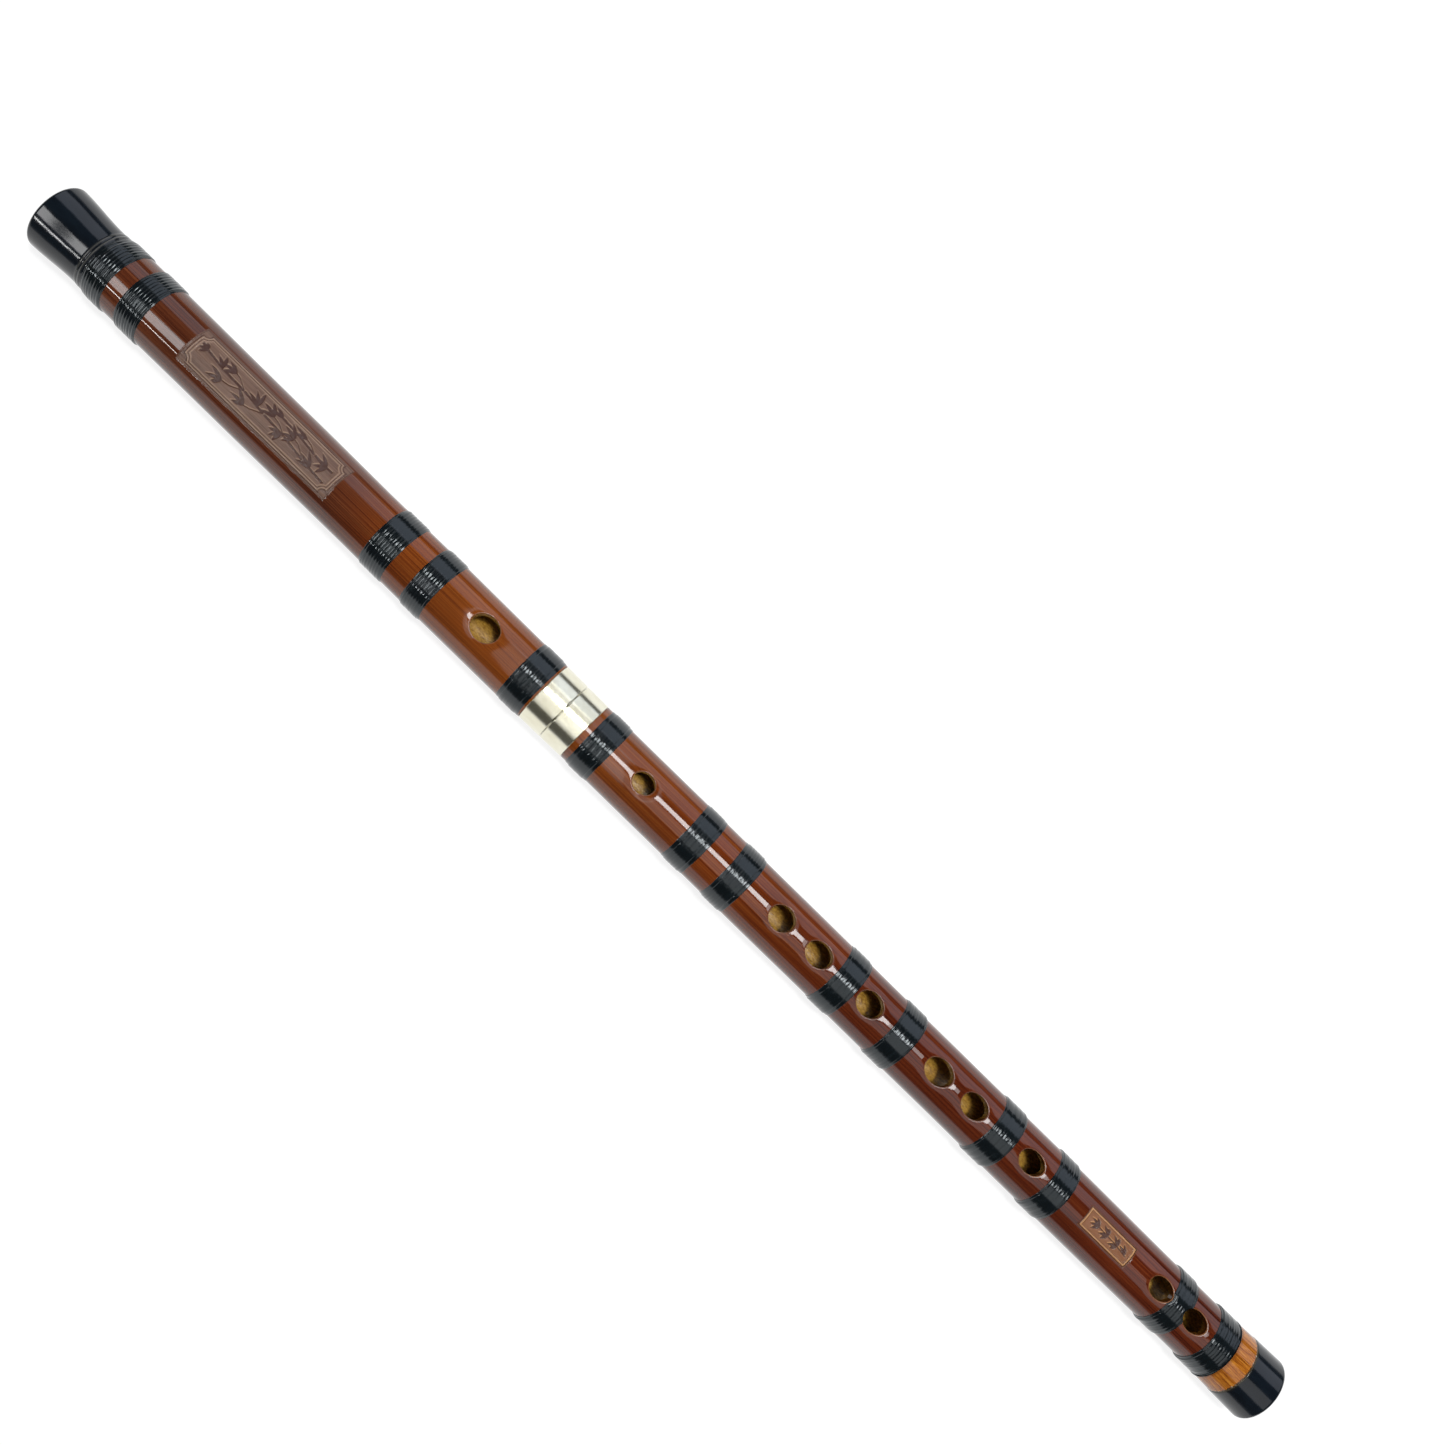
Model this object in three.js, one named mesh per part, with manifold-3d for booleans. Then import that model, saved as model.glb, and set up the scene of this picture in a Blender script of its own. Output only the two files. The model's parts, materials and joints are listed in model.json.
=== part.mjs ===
// A two-section bamboo transverse flute with thread bindings and a metal tuning joint.
// Millimetres. +X runs from the head end to the foot end, and the playing holes face +Z.
// The origin is at mid-length, on the surface that the flute lies on.

import * as THREE from "three";
import { mergeVertices } from "three/addons/utils/BufferGeometryUtils.js";
import Module from "manifold-3d";

// Overall lengths
const headLength = 230.96; // head end to the seam between the two collars
const footLength = 329.39; // seam to foot end

// Bamboo
const boreRadius = 7.55;
const culmWall = 3.95; // nominal wall, before the culm's own swelling and taper
const spigotWall = 1.75; // bamboo left where it enters the cap or the ferrule

// The culm's swelling and taper: [share of the section's length, outward offset]
const headTaper = [[0, 0.22], [0.48, 0.11], [0.61, -0.02], [0.76, 0.2], [1, 0.1]];
const footTaper = [[0, -0.12], [0.33, -0.24], [0.65, -0.27], [0.77, -0.38], [0.84, -0.55], [1, -0.55]];

// Uncoloured band of bamboo next to the foot ferrule
const bandLength = 7.27;
const bandOffsets = [-0.04, 0.2]; // outward offsets at its two ends

// Head cap: an open ring that flares towards the end
const capLength = 27; // includes the skirt under the first binding
const capFlareLength = 19;
const capEndProud = 0.86; // beyond the nominal culm radius
const capNeckProud = -0.17;
const capFaceThickness = 6; // from the end face to the spigot's seat

// Foot ferrule
const ferruleLength = 13.27;
const ferruleProud = [0.27, 0.55]; // at its bamboo end and at the foot end
const ferruleFaceThickness = 4.5;

const edgeRound = 1.2; // rounded rim of the cap and the ferrule
const mouthChamfer = 0.5; // inside edge of the cap and the ferrule

// Metal tuning joint
const collarLength = 9.6;
const collarWall = 0.6;
const flangeThickness = 0.8; // the collar's inward flange over the bamboo's end
const seamGap = 0.3; // between the faces of the two collars
const tenonWall = 0.8;
const tenonReach = 24; // engaged in the head section
const tenonSeat = 20; // glued into the foot section
const tenonStep = 0.2; // the tenon's bore is this much larger in radius than the bamboo's
const sleeveWall = 0.7;
const sleeveSpare = 1.4; // the sleeve is this much deeper than the tenon's reach
const slideGap = 0.25; // radial, tenon in sleeve
const glueGap = 0.15; // between any two pieces that are glued together

// Cork stopper
const corkLength = 18;
const corkSetback = 12.5; // cork face to the middle of the blow hole
const corkGap = 0.1;
const corkChamfer = 0.5;

// Thread bindings
const bindingSeatDepth = 0.4; // shallow seat turned in the bamboo
const bindingGap = 0.15;
const bindingShoulder = 0.7; // sloping edge of each winding
const coneLength = 1.5; // the first winding tapers down to the cap's neck over this length

// Holes. The blow hole is measured from the metal sleeve, because the sleeve must stop short of it.
const blowHole = { length: 10.6, width: 9, landBeyondSleeve: 5.9 };
const footHoles = [
  { at: 0.1073, length: 8.3, width: 7 }, // membrane hole
  { at: 0.2998, length: 9.7, width: 8.4 }, // sixth finger hole
  { at: 0.3515, length: 10.2, width: 8.1 },
  { at: 0.423, length: 10.1, width: 8.3 },
  { at: 0.5205, length: 11, width: 8.5 },
  { at: 0.5706, length: 10.3, width: 8 },
  { at: 0.6518, length: 10, width: 7.6 }, // first finger hole
  { at: 0.8373, length: 9.5, width: 7.3 }, // two vents
  { at: 0.8857, length: 9.5, width: 7.3 },
];
const cordHoles = [
  { at: 0.7743, length: 7.6, width: 6.4 }, // two holes through the underside
  { at: 0.8198, length: 7.6, width: 6.4 },
];

// Engraved panels, as shallow recesses that follow the culm
const panelDepth = 0.3;
const headPanel = { at: 0.4152, length: 65.3, width: 15.3 };
const footPanel = { at: 0.7605, length: 21.6, width: 8.7 };

// Bindings between the fixed ones at the section ends: centre as a share of the section's length
const headBindings = [
  { at: 0.6627, width: 10.3, proud: 0.32 },
  { at: 0.7408, width: 9.2, proud: 0.42 },
];
const footBindings = [
  { at: 0.1839, width: 9.5, proud: 0.32 },
  { at: 0.2392, width: 9.8, proud: 0.43 },
  { at: 0.3901, width: 9.6, proud: 0.43 },
  { at: 0.4693, width: 9.8, proud: 0.44 },
  { at: 0.612, width: 10.2, proud: 0.46 },
  { at: 0.6904, width: 9.2, proud: 0.52 },
  { at: 0.863, width: 8.8, proud: 0.5 },
];
const capBinding = { width: 9.4, proud: 0.41, onCap: 4.2 }; // onCap: width that lies on the cap's skirt
const secondBinding = { width: 9.5, proud: 0.43, gap: 5.847 }; // gap: bare bamboo up to its neighbour
const headCollarBinding = { width: 10.1, proud: 0.32, gap: 0.45 };
const footCollarBinding = { width: 9.6, proud: 0.34, gap: 2 };
const bandBinding = { width: 9.55, proud: 0.6 };

// Facets round the flute. One flat faces straight down, so the flute rests without rolling.
const facets = 28;
const holeSides = 20;
const roundSteps = 3;
const flareSteps = 6;

// Derived radii, from the bore outwards
const culmRadius = boreRadius + culmWall;
const spigotRadius = boreRadius + spigotWall;
const tenonInner = boreRadius + tenonStep;
const tenonOuter = tenonInner + tenonWall;
const sleeveInner = tenonOuter + slideGap;
const sleeveOuter = sleeveInner + sleeveWall;
const capEndRadius = culmRadius + capEndProud;
const capNeckRadius = culmRadius + capNeckProud;

// Derived stations along the axis, from the head end
const seam = headLength;
const footEnd = headLength + footLength;
const headFace = seam - seamGap / 2;
const footFace = seam + seamGap / 2;
const headCollarStart = seam - collarLength;
const footCollarEnd = seam + collarLength;
const sleeveStart = seam - tenonReach - sleeveSpare;
const blowX = sleeveStart - blowHole.landBeyondSleeve - blowHole.length / 2;
const corkEnd = blowX - corkSetback;
const ferruleStart = footEnd - ferruleLength;
const bandStart = ferruleStart - bandLength;

const wasm = await Module();
wasm.setup();

const alongHead = (share) => share * headLength;
const alongFoot = (share) => seam + share * footLength;

// Outer radius of the bare culm at station x
function taperAt(taper, share) {
  const next = taper.findIndex(([s]) => s >= share);
  if (next <= 0) return taper[Math.max(next, 0)][1];
  const [[s0, r0], [s1, r1]] = [taper[next - 1], taper[next]];
  return r0 + ((r1 - r0) * (share - s0)) / (s1 - s0);
}

function culmAt(x) {
  const share = x <= seam ? x / headLength : (x - seam) / footLength;
  return culmRadius + taperAt(x <= seam ? headTaper : footTaper, share);
}

function solidOf(geometry) {
  geometry.deleteAttribute("normal");
  geometry.deleteAttribute("uv");
  const merged = mergeVertices(geometry);
  const vertProperties = merged.attributes.position.array;
  const triVerts = new Uint32Array(merged.index.array);
  return new wasm.Manifold(new wasm.Mesh({ numProp: 3, vertProperties, triVerts }));
}

function geometryOf(solid) {
  const { vertProperties, triVerts } = solid.getMesh();
  const indexed = new THREE.BufferGeometry();
  indexed.setAttribute("position", new THREE.BufferAttribute(vertProperties, 3));
  indexed.setIndex(new THREE.BufferAttribute(triVerts, 1));
  const flat = indexed.toNonIndexed();
  flat.computeVertexNormals();
  return flat;
}

// A solid of revolution about X. outside runs towards the foot, inside back towards the head.
function turned(outside, inside) {
  const profile = [...outside, ...inside, outside[0]].map(([x, r]) => new THREE.Vector2(r, x));
  const lathe = new THREE.LatheGeometry(profile, facets, Math.PI / facets);
  return solidOf(lathe.rotateZ(-Math.PI / 2));
}

// A quarter-round rim from the full radius to the end face at x. side is 1 where the piece lies towards +X.
function rim(x, radius, side) {
  return Array.from({ length: roundSteps + 1 }, (_, i) => {
    const turn = (Math.PI / 2) * (i / roundSteps);
    return [x + side * edgeRound * (1 - Math.sin(turn)), radius - edgeRound * (1 - Math.cos(turn))];
  });
}

// Outer profile of the bamboo between two stations, with a seat for each binding
function culmProfile(from, to, taper, along, bindings) {
  const stations = taper.map(([share]) => along(share));
  const bare = (start, end) => {
    const between = stations.filter((x) => x > start && x < end);
    return [start, ...between, end].map((x) => [x, culmAt(x)]);
  };
  const ends = [from, ...bindings.flatMap((b) => [b.start, b.end]), to];
  const profile = bare(ends[0], ends[1]);
  bindings.forEach((binding, i) => {
    profile.push([binding.start, binding.seat], [binding.end, binding.seat]);
    profile.push(...bare(ends[2 * i + 2], ends[2 * i + 3]));
  });
  return profile;
}

// A straight-sided oval cutter from the axis out through one wall
function ovalCutter({ x, length, width }, underside = false) {
  const oval = new THREE.Shape().absellipse(0, 0, length / 2, width / 2, 0, 2 * Math.PI);
  const options = { depth: 2 * culmRadius, bevelEnabled: false, curveSegments: holeSides / 2 };
  const prism = new THREE.ExtrudeGeometry(oval, options);
  if (underside) prism.rotateX(Math.PI);
  return solidOf(prism.translate(x, 0, 0));
}

// What a panel takes away: the skin of the culm inside a rectangle
function panelCutter({ x, length, width }) {
  const block = new THREE.BoxGeometry(length, width, 2 * culmRadius).translate(x, 0, culmRadius);
  const core = [x - length, x + length].map((s) => [s, culmAt(s) - panelDepth]);
  return solidOf(block).subtract(turned([[core[0][0], 0], ...core], [[core[1][0], 0]]));
}

const cutAll = (solid, cutters) => cutters.reduce((s, c) => s.subtract(c), solid);

// A binding's ends, the radius of its seat and how proud its crown stands
function bindingFrom(start, { width, proud }) {
  const end = start + width;
  return { start, end, proud, seat: Math.min(culmAt(start), culmAt(end)) - bindingSeatDepth };
}

const centredBinding = (binding, along) => bindingFrom(along(binding.at) - binding.width / 2, binding);

// The bindings of each section, in order along the flute
const onCap = bindingFrom(capLength - capBinding.onCap, capBinding);
onCap.seat = capNeckRadius - bindingSeatDepth; // one seat across the cap's skirt and the bamboo
const byHeadCollar = bindingFrom(
  headCollarStart - headCollarBinding.gap - headCollarBinding.width,
  headCollarBinding,
);
const byFootCollar = bindingFrom(footCollarEnd + footCollarBinding.gap, footCollarBinding);
const byBand = bindingFrom(bandStart - bandBinding.width, bandBinding);
const second = bindingFrom(onCap.end + secondBinding.gap, secondBinding);
const headSeats = [second, ...headBindings.map((b) => centredBinding(b, alongHead)), byHeadCollar];
const footSeats = [byFootCollar, ...footBindings.map((b) => centredBinding(b, alongFoot))];

// Cutters, shared by the bamboo and by any binding that a hole runs into
const placed = (feature, along) => ({ ...feature, x: along(feature.at) });
const blowCutter = ovalCutter({ ...blowHole, x: blowX });
const footCutters = [
  ...footHoles.map((h) => ovalCutter(placed(h, alongFoot))),
  ...cordHoles.map((h) => ovalCutter(placed(h, alongFoot), true)),
];

function headCap() {
  const flare = Array.from({ length: flareSteps + 1 }, (_, i) => {
    const x = edgeRound + ((capFlareLength - edgeRound) * i) / flareSteps;
    const ease = 0.5 + 0.5 * Math.cos((Math.PI * x) / capFlareLength);
    return [x, capNeckRadius + (capEndRadius - capNeckRadius) * ease];
  });
  const skirt = [[onCap.start, capNeckRadius], [onCap.start, onCap.seat], [capLength, onCap.seat]];
  const spigotSeat = spigotRadius + glueGap;
  return turned([...rim(0, flare[0][1], 1).reverse(), ...flare.slice(1), ...skirt], [
    [capLength, spigotSeat],
    [capFaceThickness, spigotSeat],
    [capFaceThickness, boreRadius],
    [mouthChamfer, boreRadius],
    [0, boreRadius + mouthChamfer],
  ]);
}

function headTube() {
  const start = capFaceThickness + glueGap;
  const shoulder = capLength + glueGap;
  const end = headFace - flangeThickness - glueGap;
  const land = culmAt(headCollarStart) - collarWall - glueGap;
  const socket = sleeveOuter + glueGap;
  const outside = [
    [start, spigotRadius],
    [shoulder, spigotRadius],
    [shoulder, onCap.seat],
    [onCap.end, onCap.seat],
    ...culmProfile(onCap.end, headCollarStart, headTaper, alongHead, headSeats),
    [headCollarStart, land],
    [end, land],
  ];
  const inside = [
    [end, socket],
    [sleeveStart - glueGap, socket],
    [sleeveStart - glueGap, boreRadius],
    [start, boreRadius],
  ];
  return cutAll(turned(outside, inside), [blowCutter, panelCutter(placed(headPanel, alongHead))]);
}

function footTube() {
  const start = footFace + flangeThickness + glueGap;
  const end = footEnd - ferruleFaceThickness - glueGap;
  const land = culmAt(footCollarEnd) - collarWall - glueGap;
  const bandEnd = ferruleStart - glueGap;
  const outside = [
    [start, land],
    [footCollarEnd, land],
    ...culmProfile(footCollarEnd, byBand.start, footTaper, alongFoot, footSeats),
    [byBand.start, byBand.seat],
    [byBand.end, byBand.seat],
    [byBand.end, culmRadius + bandOffsets[0]],
    [bandEnd, culmRadius + bandOffsets[1]],
    [bandEnd, spigotRadius],
    [end, spigotRadius],
  ];
  const tenonShoulder = seam + tenonSeat + glueGap;
  const inside = [
    [end, boreRadius],
    [tenonShoulder, boreRadius],
    [tenonShoulder, tenonOuter + glueGap],
    [start, tenonOuter + glueGap],
  ];
  return cutAll(turned(outside, inside), [...footCutters, panelCutter(placed(footPanel, alongFoot))]);
}

function footFerrule() {
  const spigotSeat = spigotRadius + glueGap;
  const [startRadius, endRadius] = ferruleProud.map((proud) => culmRadius + proud);
  return turned([[ferruleStart, startRadius], ...rim(footEnd, endRadius, -1)], [
    [footEnd, boreRadius + mouthChamfer],
    [footEnd - mouthChamfer, boreRadius],
    [footEnd - ferruleFaceThickness, boreRadius],
    [footEnd - ferruleFaceThickness, spigotSeat],
    [ferruleStart, spigotSeat],
  ]);
}

// Collars are L-shaped in section: a ring on the bamboo and a flange over its end
function headCollar() {
  const inner = culmAt(headCollarStart) - collarWall;
  const flangeInner = sleeveOuter + glueGap;
  return turned(
    [[headCollarStart + glueGap, culmAt(headCollarStart)], [headFace, culmRadius + headTaper.at(-1)[1] / 2]],
    [
      [headFace, flangeInner],
      [headFace - flangeThickness, flangeInner],
      [headFace - flangeThickness, inner],
      [headCollarStart + glueGap, inner],
    ],
  );
}

function footCollar() {
  const inner = culmAt(footCollarEnd) - collarWall;
  const flangeInner = tenonOuter + glueGap;
  return turned(
    [[footFace, culmRadius], [footCollarEnd - glueGap, culmRadius - bindingGap / 2]],
    [
      [footCollarEnd - glueGap, inner],
      [footFace + flangeThickness, inner],
      [footFace + flangeThickness, flangeInner],
      [footFace, flangeInner],
    ],
  );
}

const pipe = (from, to, outer, inner) => turned([[from, outer], [to, outer]], [[to, inner], [from, inner]]);
const sleeve = () => pipe(sleeveStart, headFace, sleeveOuter, sleeveInner);
const tenon = () => pipe(seam - tenonReach, seam + tenonSeat, tenonOuter, tenonInner);

function cork() {
  const radius = boreRadius - corkGap;
  const start = corkEnd - corkLength;
  const edge = radius - corkChamfer;
  const side = [[start + corkChamfer, radius], [corkEnd - corkChamfer, radius]];
  return turned([[start, 0], [start, edge], ...side, [corkEnd, edge]], [[corkEnd, 0]]);
}

// One winding: a low crown with sloping edges, in its seat
function winding({ start, end, proud, seat }, startSlope = bindingShoulder, startDrop = proud / 2) {
  const [from, to] = [start + bindingGap, end - bindingGap];
  const crownAt = (x) => culmAt(x) + proud;
  return turned(
    [
      [from, crownAt(from) - startDrop],
      [from + startSlope, crownAt(from + startSlope)],
      [to - bindingShoulder, crownAt(to - bindingShoulder)],
      [to, crownAt(to) - proud / 2],
    ],
    [[to, seat + bindingGap], [from, seat + bindingGap]],
  );
}

const capWinding = () => winding(onCap, coneLength, capBinding.proud - capNeckProud);
const headWindings = [capWinding(), ...headSeats.map((b) => winding(b))];
const footWindings = [...footSeats, byBand].map((b) => cutAll(winding(b), footCutters));

// Assembly: the group of each section holds the pieces that are fixed together
const finishes = {
  horn: { color: 0x0c1014, roughness: 0.18, metalness: 0 },
  bamboo: { color: 0x6e2f16, roughness: 0.22, metalness: 0 },
  thread: { color: 0x12161b, roughness: 0.38, metalness: 0 },
  nickelSilver: { color: 0xd9d5c4, roughness: 0.16, metalness: 1 },
  cork: { color: 0xb58a5c, roughness: 0.9, metalness: 0 },
};

function add(section, name, solid, finish) {
  const mesh = new THREE.Mesh(geometryOf(solid), new THREE.MeshStandardMaterial(finishes[finish]));
  mesh.name = name;
  section.add(mesh);
}

function addWindings(section, windings, first) {
  windings.forEach((solid, i) => {
    add(section, "thread_binding_" + String(first + i).padStart(2, "0"), solid, "thread");
  });
}

const headSection = new THREE.Group();
add(headSection, "head_cap", headCap(), "horn");
add(headSection, "head_tube", headTube(), "bamboo");
add(headSection, "cork_stopper", cork(), "cork");
add(headSection, "socket_sleeve", sleeve(), "nickelSilver");
add(headSection, "head_collar", headCollar(), "nickelSilver");
addWindings(headSection, headWindings, 1);

const footSection = new THREE.Group();
add(footSection, "tenon_tube", tenon(), "nickelSilver");
add(footSection, "foot_collar", footCollar(), "nickelSilver");
add(footSection, "foot_tube", footTube(), "bamboo");
add(footSection, "foot_ferrule", footFerrule(), "horn");
addWindings(footSection, footWindings, headWindings.length + 1);

const flute = new THREE.Group();
flute.position.set(-footEnd / 2, 0, capEndRadius * Math.cos(Math.PI / facets));
flute.add(headSection, footSection);

export default flute;
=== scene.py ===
import json
import math
import bmesh
import bpy
import numpy as np
from mathutils import Matrix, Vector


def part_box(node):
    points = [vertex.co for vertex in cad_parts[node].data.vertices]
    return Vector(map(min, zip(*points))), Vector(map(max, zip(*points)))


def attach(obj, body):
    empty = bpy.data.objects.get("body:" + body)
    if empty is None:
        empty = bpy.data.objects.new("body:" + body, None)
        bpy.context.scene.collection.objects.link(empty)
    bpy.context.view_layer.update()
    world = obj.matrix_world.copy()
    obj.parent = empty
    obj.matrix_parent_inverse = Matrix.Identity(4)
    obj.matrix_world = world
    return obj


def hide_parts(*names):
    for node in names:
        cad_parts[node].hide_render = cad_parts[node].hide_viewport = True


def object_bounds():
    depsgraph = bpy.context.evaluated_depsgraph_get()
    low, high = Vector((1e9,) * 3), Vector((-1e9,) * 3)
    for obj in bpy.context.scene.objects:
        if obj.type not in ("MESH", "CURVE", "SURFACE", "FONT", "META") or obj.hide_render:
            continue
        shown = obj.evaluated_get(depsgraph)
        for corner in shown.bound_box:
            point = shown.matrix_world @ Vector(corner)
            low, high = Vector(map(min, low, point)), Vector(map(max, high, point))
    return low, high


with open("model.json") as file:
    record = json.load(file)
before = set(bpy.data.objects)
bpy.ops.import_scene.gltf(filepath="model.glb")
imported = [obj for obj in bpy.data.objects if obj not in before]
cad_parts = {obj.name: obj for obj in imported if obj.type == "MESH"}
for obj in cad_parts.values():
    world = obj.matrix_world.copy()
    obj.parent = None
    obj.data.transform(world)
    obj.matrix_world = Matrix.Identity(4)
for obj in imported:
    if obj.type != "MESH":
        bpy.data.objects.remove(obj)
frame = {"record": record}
cadBox = [list(corner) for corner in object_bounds()]
print("frame loaded")

mm = 0.001
headEnd = cadBox[0][0]  # where station 0 lies, in metres
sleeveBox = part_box("socket_sleeve")
axisHeight = (sleeveBox[0].z + sleeveBox[1].z) / 2 / mm
openings = frame["record"]["physics"]["openings"]


def addObject(name, data):
    thing = bpy.data.objects.new(name, data)
    bpy.context.scene.collection.objects.link(thing)
    return thing


def spanOf(node):
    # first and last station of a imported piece, in millimetres from the head end
    low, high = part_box(node)
    return (low.x - headEnd) / mm, (high.x - headEnd) / mm


def holeOf(name):
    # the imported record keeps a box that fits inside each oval; this gives the oval back
    boxShare = 0.69
    low, high = next(o["box_m"] for o in openings if o["name"] == name)
    return {
        "at": ((low[0] + high[0]) / 2 - headEnd) / mm,
        "long": (high[0] - low[0]) / mm / boxShare / 2,
        "wide": (high[1] - low[1]) / mm / boxShare / 2,
        "side": 1 if low[2] > 0 else -1,
    }


# camera, in metres and degrees
camera = {
    "lens": 36.036,
    "place": (-0.02656, -0.06472, 0.49093),
    "turn": (7.039, -9.688, 43.66),
}

eye = addObject("camera", bpy.data.cameras.new("camera"))
eye.location = camera["place"]
eye.rotation_euler = [math.radians(angle) for angle in camera["turn"]]
eye.data.lens = camera["lens"]
eye.data.sensor_width = 36
eye.data.clip_start = 0.01
bpy.context.scene.camera = eye
bpy.context.scene.view_settings.view_transform = "Standard"
print("camera placed")


def addNode(tree, kind, settings=None, inputs=None):
    node = tree.nodes.new("ShaderNode" + kind)
    for key, value in (settings or {}).items():
        setattr(node, key, value)
    for key, value in (inputs or {}).items():
        if isinstance(value, bpy.types.NodeSocket):
            tree.links.new(value, node.inputs[key])
        else:
            node.inputs[key].default_value = value
    return node


def newFinish(name):
    finish = bpy.data.materials.new(name)
    finish.use_nodes = True
    tree = finish.node_tree
    shader = tree.nodes["Principled BSDF"]
    where = addNode(tree, "TexCoord").outputs["Object"]
    return finish, tree, shader, where


def treeOf(*values):
    return next(value.id_data for value in values if isinstance(value, bpy.types.NodeSocket))


def fibre(where, stretch, detail=3.0, rough=0.55, warp=0.0):
    # noise whose features are about 1/stretch millimetres along each axis
    tree = treeOf(where)
    scale = [value / mm for value in stretch]
    spread = addNode(tree, "Mapping", None, {"Vector": where, "Scale": scale}).outputs[0]
    inputs = {"Vector": spread, "Scale": 1.0, "Detail": detail, "Roughness": rough, "Distortion": warp}
    return addNode(tree, "TexNoise", None, inputs).outputs[0]


def ramp(factor, places, colours, smooth=False):
    node = addNode(treeOf(factor), "ValToRGB", None, {"Fac": factor})
    elements = node.color_ramp.elements
    while len(elements) < len(places):
        elements.new(0.5)
    for element, place, colour in zip(elements, places, colours):
        element.position = place
        element.color = (*colour, 1) if isinstance(colour, tuple) else (colour, colour, colour, 1)
    node.color_ramp.interpolation = "EASE" if smooth else "LINEAR"
    return node.outputs[0]


def maths(how, first, second, clamp=False):
    settings = {"operation": how, "use_clamp": clamp}
    return addNode(treeOf(first, second), "Math", settings, {0: first, 1: second}).outputs[0]


def times(first, second):
    return maths("MULTIPLY", first, second)


def plus(first, second, clamp=False):
    return maths("ADD", first, second, clamp)


def minus(first, second):
    return maths("SUBTRACT", first, second)


def larger(first, second):
    return maths("MAXIMUM", first, second)


def blendColour(factor, first, second, how="MIX"):
    # a colour may be a socket or a plain triple
    tree = treeOf(factor, first, second)
    first, second = [(*value, 1) if isinstance(value, tuple) else value for value in (first, second)]
    settings = {"data_type": "RGBA", "blend_type": how}
    return addNode(tree, "Mix", settings, {0: factor, 6: first, 7: second}).outputs[2]


def band(value, low, high):
    # 0 below low, 1 above high, smooth between
    settings = {"interpolation_type": "SMOOTHSTEP"}
    inputs = {"Value": value, "From Min": low, "From Max": high}
    return addNode(treeOf(value), "MapRange", settings, inputs).outputs[0]


def bumpFrom(tree, shader, height, distance, base=None):
    # distance is in metres
    node = addNode(tree, "Bump", None, {"Height": height, "Distance": distance, "Strength": 1.0})
    if base is not None:
        tree.links.new(base, node.inputs["Normal"])
    tree.links.new(node.outputs[0], shader.inputs["Normal"])
    return node.outputs[0]


def marked(tree, name):
    return addNode(tree, "Attribute", {"attribute_name": name}).outputs["Fac"]


# every point is (station, across, height over the axis), in millimetres
def newSkin():
    return {"points": [], "faces": [], "count": 0, "marks": {}}


def addPoints(skin, stations, across, height, **marks):
    total = len(across)
    skin["points"].append(np.column_stack([np.broadcast_to(stations, total), across, height]))
    for name in ("raw", "panel", "ink", "rub"):
        value = np.broadcast_to(marks.get(name, 0.0), total)
        skin["marks"].setdefault(name, []).append(value)
    first = skin["count"]
    skin["count"] += total
    return np.arange(first, first + total)


def addRing(skin, stations, angles, radii, **marks):
    return addPoints(skin, stations, radii * np.sin(angles), radii * np.cos(angles), **marks)


def joinRings(skin, first, second, skip=()):
    total = len(first)
    for i in range(total):
        if i in skip:
            continue
        j = (i + 1) % total
        skin["faces"].append((first[i], first[j], second[j], second[i]))


def finishPiece(name, skin, finish, body, node, sharpest=38):
    points = np.concatenate(skin["points"])
    places = np.column_stack([
        headEnd + points[:, 0] * mm,
        points[:, 1] * mm,
        (axisHeight + points[:, 2]) * mm,
    ])
    mesh = bpy.data.meshes.new(name)
    mesh.from_pydata(places.tolist(), [], [tuple(int(v) for v in face) for face in skin["faces"]])
    for mark, parts in skin["marks"].items():
        values = np.concatenate(parts)
        if values.any():
            layer = mesh.attributes.new(mark, "FLOAT", "POINT")
            layer.data.foreach_set("value", values.astype(np.float32))
    work = bmesh.new()
    work.from_mesh(mesh)
    bmesh.ops.recalc_face_normals(work, faces=work.faces)
    work.to_mesh(mesh)
    work.free()
    mesh.shade_smooth()
    mesh.set_sharp_from_angle(angle=math.radians(sharpest))
    mesh.materials.append(finish)
    piece = addObject(name, mesh)
    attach(piece, body)
    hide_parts(node)
    return piece


def roundCorners(corners, steps=5):
    # corners are (station, radius, rounding) of a closed outline, head to foot outside and back inside
    outline = []
    total = len(corners)
    for i, (s, r, rounding) in enumerate(corners):
        here = np.array([s, r])
        if not rounding:
            outline.append(here)
            continue
        before = np.array(corners[i - 1][:2]) - here
        after = np.array(corners[(i + 1) % total][:2]) - here
        reachBefore = before / np.linalg.norm(before) * rounding
        reachAfter = after / np.linalg.norm(after) * rounding
        for k in range(steps + 1):
            t = k / steps
            outline.append(here + reachBefore * (1 - t) ** 2 + reachAfter * t ** 2)
    return outline


def supported(outline):
    # extra rings near both ends of each straight, so that smooth shading stays at the rounded edges
    shortest = 1.2
    near = 0.12
    far = 0.45
    full = []
    for i, here in enumerate(outline):
        here = np.asarray(here, float)
        there = np.asarray(outline[(i + 1) % len(outline)], float)
        full.append(here)
        length = np.linalg.norm(there - here)
        if length > shortest:
            for t in (near / length, far / length, 0.5, 1 - far / length, 1 - near / length):
                full.append(here + (there - here) * t)
    return full


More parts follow.
